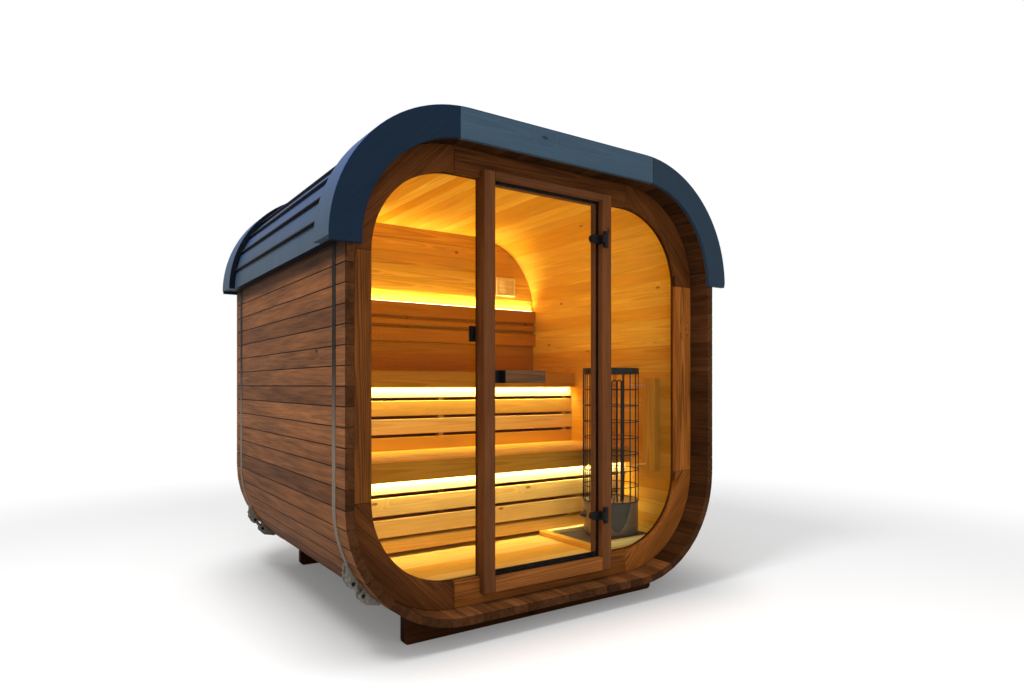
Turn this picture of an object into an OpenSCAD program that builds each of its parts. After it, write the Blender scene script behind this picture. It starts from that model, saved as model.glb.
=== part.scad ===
// Garden sauna with a rounded-square barrel shell.
// Staves run from front to back round a rounded square outline.  The front is a
// framed glass wall with a hinged glass door, the back is a boarded wall, and a
// standing-seam metal roof covers the top half between two curved fascia boards.
// The origin is at ground level under the middle of the shell.
// +X is to the right of someone who faces the door, +Y runs to the back, +Z is up.

/* [Shell] */
// Width over the staves
shell_w = 2340; // [2100:10:2900]
// Height over the staves
shell_h = 2340; // [2240:10:2800]
// Length of the staves from front to back
shell_l = 2000; // [1900:10:3200]
// Outside radius of the four rounded corners
corner_r = 600; // [480:10:640]
// Thickness of the staves
stave_t = 42; // [34:1:50]

/* [Support beams] */
// Height of the staves above the ground
lift = 100; // [60:5:160]
// Distance from the middle of the front beam's length to its end
beam_half = 815; // [700:5:900]
// Distance from the middle of the back beam's length to its end
beam_back_half = 780; // [700:5:900]
// Thickness of a beam from front to back
beam_t = 45; // [40:1:120]
// Height of the beam's horn beside the curve of the shell
beam_horn = 62; // [30:1:90]
// Radius of the rounded corners at a beam's ends
beam_round = 26; // [10:1:30]
// Distance from the front of the shell to the front beam
beam_inset = 180; // [60:5:400]
// Distance from the back of the shell to the back beam
beam_back_inset = 69; // [60:1:400]

/* [Front wall] */
// Distance from the front ends of the staves to the front wall
recess = 137; // [80:1:200]
// Thickness of the front wall's frame pieces
ring_t = 45; // [40:1:60]
// Width of the front wall's frame pieces
ring_w = 133; // [90:1:180]
// Thickness of the fixed glass
pane_t = 8; // [6:1:10]
// Width of the rebate that holds the fixed glass
rebate_w = 12; // [8:1:15]

/* [Door] */
// Clear width between the jambs
door_w = 714; // [600:1:800]
// Width of a jamb
jamb_w = 65; // [45:1:80]
// Height of the head
head_h = 36; // [30:1:60]
// Height of the sill
sill_h = 71; // [40:1:90]
// Distance from the floor of the shell to the underside of the sill
sill_lift = 54; // [40:1:90]
// Distance from the ceiling of the shell to the top of the head
head_drop = 99; // [80:1:160]
// How far the door frame stands in front of the front wall
frame_proud = 41; // [30:1:60]
// Thickness of the door glass
door_t = 8; // [8:1:10]
// Running gap round the door glass
door_gap = 6; // [6:0.5:9]
// How far the stop reaches into the doorway
stop_w = 16; // [12:1:20]
// Distance from the front of the frame to the front of the door glass
door_set = 28; // [24:1:34]

/* [Door fittings] */
// Height of a hinge plate
hinge_h = 86; // [70:1:120]
// Height of the hinge's glass clamp
clamp_h = 46; // [44:1:66]
// Length of the hinge's glass clamp
clamp_l = 74; // [60:1:120]
// Distance from the sill to the middle of the lower hinge
hinge_low = 237; // [120:1:400]
// Distance from the head to the middle of the upper hinge
hinge_high = 219; // [120:1:400]
// Height of the handle's middle above the top of the sill
handle_z = 1006; // [800:1:1200]
// Length of the wooden handle
handle_l = 251; // [150:1:300]
// Height of the wooden handle
handle_h = 65; // [40:1:80]
// Thickness of the wooden handle
handle_t = 32; // [20:1:45]
// Gap between the handle and the glass
handle_gap = 26; // [15:1:50]

/* [Fascia and roof] */
// Thickness of the fascia boards
fascia_t = 26; // [18:1:40]
// How far the fascia stands outside the staves
fascia_out = 80; // [70:1:110]
// How far the fascia reaches inside the outline of the staves
fascia_in = 65; // [40:1:90]
// How far the straight fascia board runs on past the start of each curve
fascia_lap = 57; // [0:1:90]
// Length of the fascia's straight tail below the curve
fascia_tail = 9; // [0:1:120]
// Height of the roof surface above the staves
roof_t = 47; // [35:1:60]
// Distance from the top of the wall curve up to the eave
eave_up = 7; // [0:1:60]
// Height of a standing seam
seam_h = 15; // [12:1:25]
// Thickness of a standing seam
seam_t = 8; // [4:1:12]
// Width of a roof panel between seams
seam_pitch = 120; // [90:1:300]
// Width of the verge flashing from front to back
flash_w = 165; // [100:1:220]
// Thickness of the verge flashing
flash_t = 3; // [2:0.5:5]

/* [Straps] */
// Width of a tension strap
strap_w = 40; // [25:1:60]
// Thickness of a tension strap
strap_t = 2; // [1:0.5:3]
// Distance from a shell end to the middle of its strap
strap_inset = 136; // [110:1:300]
// Length of a clamp's lug along the strap, from the middle of the clamp
lug_l = 128; // [110:1:160]
// Height of a clamp's pin above the strap
lug_up = 21; // [18:1:26]

/* [Back wall] */
// Thickness of the back wall
back_t = 45; // [38:1:60]

/* [Floor] */
// Height of the floor boards over the bottom of the shell
floor_up = 138; // [110:1:170]
// Thickness of the floor boards
floor_t = 27; // [18:1:35]

/* [Benches] */
// Height of the lower bench over the floor
low_bench_h = 525; // [400:5:600]
// Height of the upper bench over the floor
high_bench_h = 1042; // [850:5:1150]
// Depth of the upper bench from the back wall
high_bench_d = 546; // [400:5:700]
// Gap between the heater's cage and the front of the lower bench
heater_clear = 10; // [8:1:60]
// Thickness of the bench boards
bench_t = 28; // [20:1:35]
// Width of a bench board
bench_board = 92; // [70:1:140]
// Height of the apron board under each bench's front edge
apron_h = 106; // [80:1:130]
// Setback of the slatted front behind the apron
riser_back = 38; // [20:1:60]
// Width of a board in the slatted fronts and the backrest
slat_h = 99; // [70:1:120]
// Gap between the boards of the slatted fronts
slat_gap = 20; // [8:1:24]
// Thickness of the slatted fronts
slat_t = 20; // [14:1:28]

/* [Backrest] */
// Height of the backrest's lower edge over the upper bench
backrest_up = 228; // [150:5:300]
// Width of the backrest's outer boards
backrest_board = 99; // [70:1:120]
// Width of the backrest's middle board
backrest_mid = 41; // [30:1:90]
// Distance of the backrest from the back wall
backrest_off = 20; // [12:1:40]

/* [Heater] */
// Gap between the heater's cage and the inside of the right wall
heater_in = 179; // [178:1:260]
// Gap between the heater's cage and the back of the front wall
heater_back = 122; // [100:1:220]
// Diameter of the heater's cage
heater_d = 356; // [280:1:430]
// Height of the heater's base
heater_base_h = 210; // [150:5:260]
// Height of the heater's cage
cage_h = 838; // [500:10:1000]
// Height of the rim band at the top of the cage
rim_h = 38; // [25:1:60]
// Distance between the rings of the cage
ring_pitch = 101; // [70:1:160]
// Thickness of the cage's bars
bar_t = 5; // [5:1:8]
// Number of upright bars round the cage
bar_n = 20; // [16:1:30]
// Diameter of the heating elements
element_d = 9; // [8:1:12]

/* [Small fittings] */
// Width of the glowing strip under the benches and over the backrest
led_w = 12; // [8:1:20]

/* [Hidden] */
$fn = 128;
fit = 0.3;                 // clearance between curved pieces that seat on each other
joint = 1;                 // visible joint between two fascia boards
reach = 1000;              // larger than any corner, for cutting shapes

arc_x = shell_w / 2 - corner_r;             // corner centres lie at +-arc_x
arc_dz = shell_h / 2 - corner_r;            // and this far above and below mid height
mid_z = lift + shell_h / 2;
inner_x = shell_w / 2 - stave_t;            // inside face of the side walls
inner_bottom = lift + stave_t;              // inside faces of the floor and ceiling staves
inner_top = lift + shell_h - stave_t;
front_y = -shell_l / 2;
back_y = shell_l / 2;

ring_y = front_y + recess;                  // front face of the front wall
ring_back = ring_y + ring_t;
bead_t = 8;                                 // bead that holds the fixed glass
pane_y = ring_back - bead_t - pane_t;       // front face of the fixed glass
frame_y = ring_y - frame_proud;             // front face of the door frame
frame_d = frame_proud + ring_t;
frame_half = door_w / 2 + jamb_w;
frame_bottom = inner_bottom + sill_lift;
frame_top = inner_top - head_drop;
sill_top = frame_bottom + sill_h;
head_bottom = frame_top - head_h;
glass_y = frame_y + door_set;               // front face of the door glass
stop_y = glass_y + door_t + 5;              // the stop stays clear of the door
inner_back = back_y - recess - back_t;      // inside face of the back wall

floor_z = inner_bottom + floor_up;
low_z = floor_z + low_bench_h;
high_z = floor_z + high_bench_h;
high_y = inner_back - high_bench_d;         // front edge of the upper bench
bench_half = inner_x - fit;
bench_gap = 12;                             // gap between the boards of a bench
batten_w = 45;                              // battens under the bench boards
batten_h = 47;
post_w = 40;                                // uprights behind the slatted fronts
post_x = bench_half - 60;                   // outer battens and uprights lie at +-post_x
riser_gap = 26;                             // gap between the floor and the lowest slat
backrest_gap = 24;
backrest_z = high_z + backrest_up;
backrest_h = 2 * backrest_board + backrest_mid + 2 * backrest_gap;
led_h = 6;                                  // thickness of a light strip

hinge_x = door_w / 2 + 2;                   // hinge pivot, in front of the right jamb
knuckle_r = 8;
knuckle_h = 44;                             // height of the middle knuckle
pin_r = 3;
hinge_plate_w = 34;
hinge_plate_t = 5;
clamp_t = 22;                               // how far a clamp stands off the glass
hinge_y = frame_y - hinge_plate_t - knuckle_r - 3;
handle_mount_w = 36;
hinge_zs = [sill_top + hinge_low, head_bottom - hinge_high];

heater_x = inner_x - heater_in - heater_d / 2;
heater_y = ring_back + heater_back + heater_d / 2;
low_y = heater_y + heater_d / 2 + heater_clear;   // front edge of the lower bench
hearth_frame_t = 28;
hearth_frame_w = 50;
hearth_plate_t = 10;
hearth_front = ring_back + 22;
hearth_back = low_y + riser_back - 2;       // ends at the slatted front of the lower bench
hearth_left = heater_x - heater_d / 2 - 227;
hearth_right = inner_x;
base_z = floor_z + hearth_plate_t;
base_r = heater_d / 2 - 6;
base_foot_h = 14;                           // the foot sets the drum off the plate
base_foot_in = 18;
well_d = 6;                                 // depth of the well in the top of the base
panel_t = 4;
panel_turn = 29;                            // the cover faces this far to the left of the front
panel_half = 0.55 * base_r;
panel_low = 35;
knob_turn = 112;                            // and the knob this far
knob_z = 0.6 * heater_base_h;
knob_r = 17;
knob_h = 28;
knob_skirt_r = 24;
knob_skirt_h = 7;
cage_z = base_z + heater_base_h;
ring_n = floor((cage_h - rim_h - bar_t) / ring_pitch);
element_ring_r = 78;
element_bend = 17;
board_t = 48;
rod_up = 205;                               // the lower rod over the base
rod_down = 108;                             // the upper rod under the top of the cage

strap_ys = [front_y + strap_inset, back_y - strap_inset];
clamp_angle = 37.3;                         // the middle of a clamp, below the level of its corner
clamp_r = corner_r + 2 * fit + strap_t;     // a clamp seats on the strap
lug_t = 5;
lug_pin = 38;                               // distance of a pin from the middle of the clamp
lug_nose = 22;                              // radius of a lug's rounded end round its pin
lug_bore = 6;
lug_tail = 8;                               // height of a lug's thin end
lug_drop = clamp_r - sqrt(clamp_r * clamp_r - lug_l * lug_l);
bolt_r = 5;
bolt_nut = 22;

// Rounded square outline of the shell, moved inward by inset (or outward if negative)
module outline(inset) {
    translate([0, mid_z]) {
        square([shell_w - 2 * inset, 2 * arc_dz], center = true);
        square([2 * arc_x, shell_h - 2 * inset], center = true);
        for (sx = [-1, 1], sz = [-1, 1])
            translate([sx * arc_x, sz * arc_dz]) circle(corner_r - inset);
    }
}

// Band of the outline between two insets
module band(outer, inner) {
    difference() {
        outline(outer);
        outline(inner);
    }
}

// One of the eight stretches of the outline: sx and sz are -1, 0 or 1
module stretch(sx, sz) {
    intersection() {
        children();
        translate([sx * (arc_x + reach / 2), mid_z + sz * (arc_dz + reach / 2)])
            square([sx == 0 ? 2 * arc_x : reach, sz == 0 ? 2 * arc_dz : reach], center = true);
    }
}

// Stands a flat drawing upright, with its first axis along X and its second along Z
module upright(y, depth) {
    translate([0, y + depth, 0]) rotate([90, 0, 0]) linear_extrude(depth) children();
}

// Block between two opposite corners
module block(low, high) {
    translate(low) cube(high - low);
}

// ---- Shell ----

module shell_piece(sx, sz) {
    color("saddlebrown")
        upright(front_y, shell_l) stretch(sx, sz) band(0, stave_t);
}

// ---- Front wall ----

// Outline of the door frame, grown by a clearance
module door_opening(grow) {
    translate([-frame_half - grow, frame_bottom - grow])
        square([2 * (frame_half + grow), frame_top - frame_bottom + 2 * grow]);
}

// Frame piece of the front wall, with the glass rebate on its back edge
module ring_piece(sx, sz) {
    color("sienna") {
        upright(ring_y, pane_y - ring_y) stretch(sx, sz) difference() {
            band(stave_t + fit, stave_t + ring_w);
            door_opening(0);
        }
        upright(pane_y, ring_back - pane_y) stretch(sx, sz) difference() {
            band(stave_t + fit, stave_t + ring_w - rebate_w);
            door_opening(0);
        }
    }
}

// Outline of one fixed pane in its rebate; side is -1 for left and 1 for right
module pane_outline(side, shrink) {
    intersection() {
        outline(stave_t + ring_w - rebate_w + fit + shrink);
        translate([side * (frame_half - rebate_w + fit + shrink + reach / 2), mid_z])
            square([reach, shell_h], center = true);
    }
}

module pane(side) {
    color("lightblue", 0.4) upright(pane_y, pane_t) pane_outline(side, 0);
}

// Wooden beads that hold the fixed glass from inside
module glass_beads() {
    color("burlywood")
        for (side = [-1, 1])
            upright(pane_y + pane_t, bead_t) difference() {
                pane_outline(side, 0);
                pane_outline(side, rebate_w);
            }
}

// ---- Door frame ----

// Jamb over the full height of the frame, with the stop inside and the glass rebate outside
module door_jamb() {
    color("peru") difference() {
        union() {
            block([door_w / 2, frame_y, frame_bottom], [frame_half, ring_back, frame_top]);
            block([door_w / 2 - stop_w, stop_y, sill_top + stop_w],
                  [door_w / 2 + 1, ring_back, head_bottom - stop_w]);
        }
        block([frame_half - rebate_w, pane_y, inner_bottom + ring_w - rebate_w],
              [frame_half + 1, ring_back + 1, inner_top - ring_w + rebate_w]);
    }
}

module door_jamb_left() { mirror([1, 0, 0]) door_jamb(); }
module door_jamb_right() { door_jamb(); }

module door_head() {
    color("peru") {
        block([-door_w / 2, frame_y, head_bottom], [door_w / 2, ring_back, frame_top]);
        block([-door_w / 2, stop_y, head_bottom - stop_w], [door_w / 2, ring_back, head_bottom + 1]);
    }
}

module door_sill() {
    color("peru") {
        block([-door_w / 2, frame_y, frame_bottom], [door_w / 2, ring_back, sill_top]);
        block([-door_w / 2, stop_y, sill_top - 1], [door_w / 2, ring_back, sill_top + stop_w]);
    }
}

// ---- Door ----

module door_glass() {
    color("lightblue", 0.4)
        block([-door_w / 2 + door_gap, glass_y, sill_top + door_gap],
              [door_w / 2 - door_gap, glass_y + door_t, head_bottom - door_gap]);
}

// Wooden grip beside its black mount
module door_handle() {
    left = -door_w / 2 + door_gap + handle_mount_w;
    z = sill_top + handle_z;
    color("dimgray")
        block([left, glass_y - handle_gap - handle_t, z - handle_h / 2],
              [left + handle_l, glass_y - handle_gap, z + handle_h / 2]);
}

// Black end mount and rear stud that hold the grip off the glass
module handle_mount() {
    left = -door_w / 2 + door_gap;
    z = sill_top + handle_z;
    plate_t = 5;
    block([left, glass_y - plate_t, z - handle_h / 2],
          [left + handle_mount_w, glass_y, z + handle_h / 2]);
    block([left + handle_mount_w - plate_t, glass_y - handle_gap - handle_t, z - handle_h / 2],
          [left + handle_mount_w, glass_y, z + handle_h / 2]);
    translate([left + handle_mount_w + handle_l - handle_h / 2, glass_y, z]) rotate([90, 0, 0])
        cylinder(h = handle_gap, r = 9);
}

// Hinge clamp on the door glass, with the middle knuckle of its hinge
module hinge_clamp(z) {
    right = door_w / 2 - door_gap;
    // front clamp with a rounded end
    block([right - clamp_l + clamp_h / 2, glass_y - clamp_t, z - clamp_h / 2],
          [right, glass_y, z + clamp_h / 2]);
    translate([right - clamp_l + clamp_h / 2, glass_y, z]) rotate([90, 0, 0])
        cylinder(h = clamp_t, r = clamp_h / 2);
    // knuckle in front of the jamb and the neck that carries it
    difference() {
        union() {
            block([right - 2 * knuckle_r, hinge_y - knuckle_r, z - knuckle_h / 2],
                  [right, glass_y - clamp_t + 1, z + knuckle_h / 2]);
            block([right - 2 * knuckle_r, hinge_y - knuckle_r, z - knuckle_h / 2],
                  [hinge_x, hinge_y, z + knuckle_h / 2]);
            translate([hinge_x, hinge_y, z - knuckle_h / 2])
                cylinder(h = knuckle_h, r = knuckle_r);
        }
        translate([hinge_x, hinge_y, z - knuckle_h])
            cylinder(h = 2 * knuckle_h, r = pin_r + fit);
    }
}

module door_fittings() {
    color("black") {
        handle_mount();
        for (z = hinge_zs) hinge_clamp(z);
    }
}

// Fixed hinge plates on the right jamb, with outer knuckles and the pin
module hinge_plates() {
    end_h = (hinge_h - knuckle_h) / 2 - 1;
    color("black")
        for (z = hinge_zs) {
            block([door_w / 2 + 4, frame_y - hinge_plate_t, z - hinge_h / 2],
                  [door_w / 2 + 4 + hinge_plate_w, frame_y, z + hinge_h / 2]);
            for (s = [-1, 1])
                translate([0, 0, z + s * (hinge_h - end_h) / 2]) {
                    translate([hinge_x, hinge_y, -end_h / 2]) cylinder(h = end_h, r = knuckle_r);
                    block([hinge_x, hinge_y - knuckle_r, -end_h / 2],
                          [hinge_x + 2 * knuckle_r, frame_y - hinge_plate_t + 1, end_h / 2]);
                }
            translate([hinge_x, hinge_y, z - hinge_h / 2]) cylinder(h = hinge_h, r = pin_r);
        }
}

// ---- Back wall ----

module back_wall() {
    color("burlywood")
        upright(inner_back, back_t) outline(stave_t + fit);
}

// ---- Fascia and roof ----

// Keeps the part of a drawing above a height
module above(z) {
    intersection() {
        children();
        translate([-2 * reach, z]) square([4 * reach, 4 * reach]);
    }
}

// Three painted boards: two curved ones with short tails and a straight one between them
module fascia(y) {
    color("darkslategray")
        upright(y, fascia_t) difference() {
            above(mid_z + arc_dz - fascia_tail) band(-fascia_out, fascia_in);
            for (side = [-1, 1])
                translate([side * (arc_x + fascia_lap) - joint / 2, mid_z]) square([joint, shell_h]);
        }
}

// One standing seam at a point of the roof outline, seen from the front
module seam(x, z, angle) {
    translate([x, z]) rotate(angle - 90) translate([-seam_t / 2, -1]) square([seam_t, seam_h + 1]);
}

module roof_cover() {
    surface_r = corner_r + roof_t;
    step = seam_pitch / surface_r * 180 / PI;
    top_n = floor(arc_x / seam_pitch);
    color("slategray") {
        upright(front_y, shell_l)
            above(mid_z + arc_dz + eave_up) band(-roof_t, -strap_t - 2 * fit);
        upright(front_y + flash_w, shell_l - 2 * flash_w) {
            for (a = [step : step : 86], side = [-1, 1])
                seam(side * (arc_x + surface_r * cos(a)), mid_z + arc_dz + surface_r * sin(a),
                     side > 0 ? a : 180 - a);
            for (i = [-top_n : top_n])
                seam(i * seam_pitch, lift + shell_h + roof_t, 90);
        }
    }
}

// Folded metal verge: a flat cover over the fascia's edge, a leg down to the roof and
// a cap that closes each lower end
module verge_flashing() {
    cover = fascia_out + fit;
    eave = mid_z + arc_dz + eave_up;
    color("slategray") {
        upright(front_y - fascia_t, fascia_t + flash_w)
            above(eave) band(-cover - flash_t, -cover);
        upright(front_y + flash_w - flash_t, flash_t)
            above(eave) band(-cover - flash_t, -roof_t - fit);
        upright(front_y + fit, flash_w - fit) difference() {
            above(eave) band(-cover - flash_t, -roof_t - fit);
            above(eave + flash_t) square(4 * reach, center = true);
        }
    }
}

module verge_flashing_front() { verge_flashing(); }
module verge_flashing_back() { mirror([0, 1, 0]) verge_flashing(); }

// ---- Straps ----

module straps() {
    color("gray")
        for (y = strap_ys)
            upright(y - strap_w / 2, strap_w) band(-fit - strap_t, -fit);
}

// Side of a clamp's lug over a strap whose surface passes through the origin
module lug_outline() {
    difference() {
        union() {
            translate([lug_pin, lug_up]) circle(lug_nose);
            translate([lug_pin - lug_nose, -lug_nose]) square([lug_nose, lug_nose + lug_up]);
            polygon([[lug_pin, lug_up + lug_nose], [0.6 * lug_l, lug_up + lug_nose - 5],
                     [lug_l, lug_tail - lug_drop], [lug_l, -lug_nose], [lug_pin, -lug_nose]]);
        }
        translate([0, -clamp_r]) circle(clamp_r);
    }
}

// One lug: two cheeks on a base that follows the strap, with a hollow pin through them
module clamp_lug() {
    for (y = [-strap_w / 2, strap_w / 2 - lug_t])
        upright(y, lug_t) difference() {
            lug_outline();
            translate([lug_pin, lug_up]) circle(lug_bore);
        }
    upright(-strap_w / 2, strap_w) intersection() {
        lug_outline();
        translate([0, -clamp_r]) circle(clamp_r + lug_t);
    }
    translate([lug_pin, 0, lug_up]) rotate([90, 0, 0]) difference() {
        cylinder(h = strap_w - lug_t, r = lug_bore + 5, center = true);
        cylinder(h = strap_w, r = lug_bore, center = true);
    }
    translate([lug_pin + lug_bore + 4, 0, lug_up]) rotate([0, 90, 0])
        cylinder(h = 9, r = 9, $fn = 6);
}

// Two lugs drawn together by a bolt with a turning nut in the middle
module strap_clamp() {
    for (side = [0, 1]) mirror([side, 0, 0]) clamp_lug();
    translate([-lug_l * 0.55, 0, lug_up]) rotate([0, 90, 0]) cylinder(h = lug_l * 1.4, r = bolt_r);
    translate([-bolt_nut / 2, 0, lug_up]) rotate([0, 90, 0])
        cylinder(h = bolt_nut, r = 2 * bolt_r, $fn = 6);
}

// A clamp on the lower left curve of each strap
module strap_clamps() {
    color("silver")
        for (y = strap_ys)
            translate([-arc_x, y, mid_z - arc_dz]) rotate([0, -90 - clamp_angle, 0])
                translate([0, 0, clamp_r]) strap_clamp();
}

// ---- Support beams ----

// Cross beam with rounded ends, cut to seat on the shell and to clear a strap beside it
module beam(y, half) {
    h = lift + beam_horn;
    color("saddlebrown") difference() {
        upright(y, beam_t) difference() {
            translate([0, h / 2]) {
                square([2 * (half - beam_round), h], center = true);
                square([2 * half, h - 2 * beam_round], center = true);
                for (sx = [-1, 1], sz = [-1, 1])
                    translate([sx * (half - beam_round), sz * (h / 2 - beam_round)])
                        circle(beam_round);
            }
            outline(-fit);
        }
        for (strap_y = strap_ys)
            upright(strap_y - strap_w / 2 - 1, strap_w + 2) outline(-2 * fit - strap_t);
    }
}

// ---- Floor ----

// Boards on three bearers that stand on the floor staves
module floor_deck() {
    y1 = ring_back;
    y2 = inner_back;
    bearer_w = 45;
    color("burlywood") {
        upright(y1, y2 - y1) intersection() {
            outline(stave_t + fit);
            translate([-reach * 2, floor_z - floor_t]) square([reach * 4, floor_t]);
        }
        for (x = [-arc_x + bearer_w, 0, arc_x - bearer_w])
            block([x - bearer_w / 2, y1, inner_bottom], [x + bearer_w / 2, y2, floor_z - floor_t + 1]);
    }
}

// Keeps what lies inside the shell
module inside_shell() {
    intersection() {
        children();
        upright(ring_back, inner_back - ring_back) outline(stave_t + fit);
    }
}

// Timber edging round the hearth plate; its right side follows the curve of the shell
module hearth_frame() {
    color("peru") inside_shell() difference() {
        block([hearth_left, hearth_front, floor_z],
              [hearth_right, hearth_back, floor_z + hearth_frame_t]);
        block([hearth_left + hearth_frame_w, hearth_front + hearth_frame_w, floor_z - 1],
              [hearth_right + 1, hearth_back - hearth_frame_w, floor_z + reach]);
    }
}

module hearth_plate() {
    color("dimgray") inside_shell()
        block([hearth_left + hearth_frame_w, hearth_front + hearth_frame_w, floor_z],
              [hearth_right, hearth_back - hearth_frame_w, base_z]);
}

// ---- Benches ----

// Bench boards that run the full width, between two distances from front to back
module bench_boards(y1, y2, z) {
    n = floor((y2 - y1 + bench_gap) / (bench_board + bench_gap));
    w = (y2 - y1 + bench_gap) / n - bench_gap;
    color("wheat") {
        for (i = [0 : n - 1])
            block([-bench_half, y1 + i * (w + bench_gap), z - bench_t],
                  [bench_half, y1 + i * (w + bench_gap) + w, z]);
        for (side = [-1, 0, 1])
            translate([side * post_x, 0, 0])
                block([-batten_w / 2, y1, z - bench_t - batten_h], [batten_w / 2, y2, z - bench_t + 1]);
    }
}

module upper_bench() {
    bench_boards(high_y + slat_t, inner_back, high_z);
}

module lower_bench() {
    bench_boards(low_y + slat_t, high_y + riser_back, low_z);
}

// Apron boards that edge the two benches
module bench_aprons() {
    color("wheat")
        for (p = [[low_y, low_z], [high_y, high_z]])
            block([-bench_half, p[0], p[1] - apron_h], [bench_half, p[0] + slat_t, p[1]]);
}

// Slatted front from z1 up to z2 on uprights that stand on the floor, clipped to the shell
module riser(y, z1, z2) {
    pitch = slat_h + slat_gap;
    color("wheat") {
        upright(y, slat_t) intersection() {
            outline(stave_t + fit);
            for (i = [0 : ceil((z2 - z1) / pitch) - 1]) {
                low = max(z1, z2 - i * pitch - slat_h);
                translate([-bench_half, low]) square([2 * bench_half, z2 - i * pitch - low]);
            }
        }
        upright(y + slat_t - 1, post_w + 1) intersection() {
            outline(stave_t + fit);
            for (x = [-post_x, 0, post_x])
                translate([x - post_w / 2, floor_z]) square([post_w, z2 - floor_z]);
        }
    }
}

module bench_risers() {
    under = bench_t + batten_h;
    riser(low_y + riser_back, floor_z + riser_gap, low_z - under);
    riser(high_y + riser_back, low_z, high_z - under);
}

// Three boards on uprights that stand off the back wall
module backrest() {
    y = inner_back - backrest_off - slat_t;
    color("wheat") {
        for (p = [[0, backrest_board], [backrest_board + backrest_gap, backrest_mid],
                  [backrest_h - backrest_board, backrest_board]])
            block([-bench_half, y, backrest_z + p[0]], [bench_half, y + slat_t, backrest_z + p[0] + p[1]]);
        for (x = [-post_x, 0, post_x])
            block([x - post_w / 2, y + slat_t - 1, backrest_z],
                  [x + post_w / 2, inner_back, backrest_z + backrest_h]);
    }
}

// Light strips behind the two aprons and on top of the backrest's uprights
module led_strips() {
    half = bench_half - 20;
    color("ivory") {
        for (p = [[low_y, low_z], [high_y, high_z]])
            block([-half, p[0] + slat_t, p[1] - apron_h + led_h],
                  [half, p[0] + slat_t + led_w, p[1] - apron_h + 2 * led_h]);
        block([-half, inner_back - led_w, backrest_z + backrest_h],
              [half, inner_back, backrest_z + backrest_h + led_h]);
    }
}

// ---- Heater ----

// Steel drum on a narrower foot, with a shallow well in its top that holds the elements
module heater_base() {
    color("silver") translate([heater_x, heater_y, base_z]) difference() {
        union() {
            cylinder(h = base_foot_h + 1, r = base_r - base_foot_in);
            translate([0, 0, base_foot_h]) cylinder(h = heater_base_h - base_foot_h, r = base_r);
        }
        translate([0, 0, heater_base_h - well_d]) cylinder(h = well_d + 1, r = base_r - 12);
    }
}

// Tongue-shaped outline of the dark cover: a parabola with its tip at the bottom
module panel_outline() {
    steps = 12;
    polygon([for (i = [-steps : steps])
        [panel_half * i / steps, panel_low + (heater_base_h - panel_low) * pow(i / steps, 2)]]);
}

// Curved dark cover on the base, and a control knob with a skirt on its bench side.
// Both are hollowed behind to lie against the drum.
module heater_panel() {
    r = base_r + fit;
    color("black") translate([heater_x, heater_y, base_z]) difference() {
        union() {
            intersection() {
                cylinder(h = heater_base_h, r = r + panel_t);
                rotate([0, 0, -panel_turn]) rotate([90, 0, 0])
                    linear_extrude(heater_d) panel_outline();
            }
            rotate([0, 0, -knob_turn]) translate([0, -r, knob_z]) rotate([90, 0, 0]) {
                translate([0, 0, -5]) cylinder(h = knob_skirt_h + 5, r = knob_skirt_r);
                cylinder(h = knob_h, r = knob_r);
            }
        }
        translate([0, 0, -1]) cylinder(h = heater_base_h + 2, r = r);
    }
}

// Square bars bent into rings and uprights, fused where they cross, under a rim band.
// Two rods tie one upright to the board on the wall.
module heater_cage() {
    r = heater_d / 2;
    color("black") {
        translate([heater_x, heater_y, cage_z]) {
            for (i = [0 : bar_n - 1])
                rotate([0, 0, i * 360 / bar_n]) translate([r - bar_t, -bar_t / 2, 0])
                    cube([bar_t, bar_t, cage_h - 1]);
            for (i = [1 : ring_n])
                translate([0, 0, cage_h - rim_h - i * ring_pitch])
                    rotate_extrude() translate([r - bar_t, 0]) square(bar_t);
            rotate_extrude() translate([r - bar_t, 0]) square(bar_t);
            translate([0, 0, cage_h - rim_h])
                rotate_extrude() translate([r - bar_t, 0]) square([bar_t, rim_h]);
        }
        for (z = [cage_z + rod_up, cage_z + cage_h - rod_down])
            block([heater_x + r - bar_t, heater_y - bar_t / 2, z],
                  [inner_x - board_t, heater_y + bar_t / 2, z + bar_t]);
    }
}

// Hairpin heating elements that stand in the well of the base
module heater_elements() {
    h = cage_h + well_d - rim_h - 40;
    color("dimgray") translate([heater_x, heater_y, cage_z - well_d])
        for (a = [0 : 60 : 300]) rotate([0, 0, a]) translate([0, -element_ring_r, 0]) {
            for (s = [-1, 1])
                translate([s * element_bend, 0, 0]) cylinder(h = h - element_bend, r = element_d / 2);
            translate([0, 0, h - element_bend]) rotate([90, 0, 0]) rotate_extrude(angle = 180)
                translate([element_bend, 0]) circle(element_d / 2);
        }
}

// Wooden board on the right wall that the cage's rods are fixed to
module heater_board() {
    color("peru") inside_shell()
        block([inner_x - board_t, heater_y - 82, cage_z + rod_up - 40],
              [inner_x, heater_y + 28, cage_z + cage_h - rod_down + 45]);
}

// ---- Small fittings ----

// Sliding wooden vent on the back wall
module vent() {
    color("wheat") {
        difference() {
            block([inner_x - 366, inner_back - 18, floor_z + 1669], [inner_x - 191, inner_back, floor_z + 1817]);
            block([inner_x - 346, inner_back - 30, floor_z + 1689], [inner_x - 211, inner_back - 8, floor_z + 1797]);
        }
        block([inner_x - 346, inner_back - 14, floor_z + 1689], [inner_x - 270, inner_back, floor_z + 1797]);
    }
}

// Small black sensor box behind the left pane
module switch_box() {
    color("black")
        block([-frame_half - 28, ring_back, sill_top + 1182], [-frame_half + 12, ring_back + 22, sill_top + 1262]);
}

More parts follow.
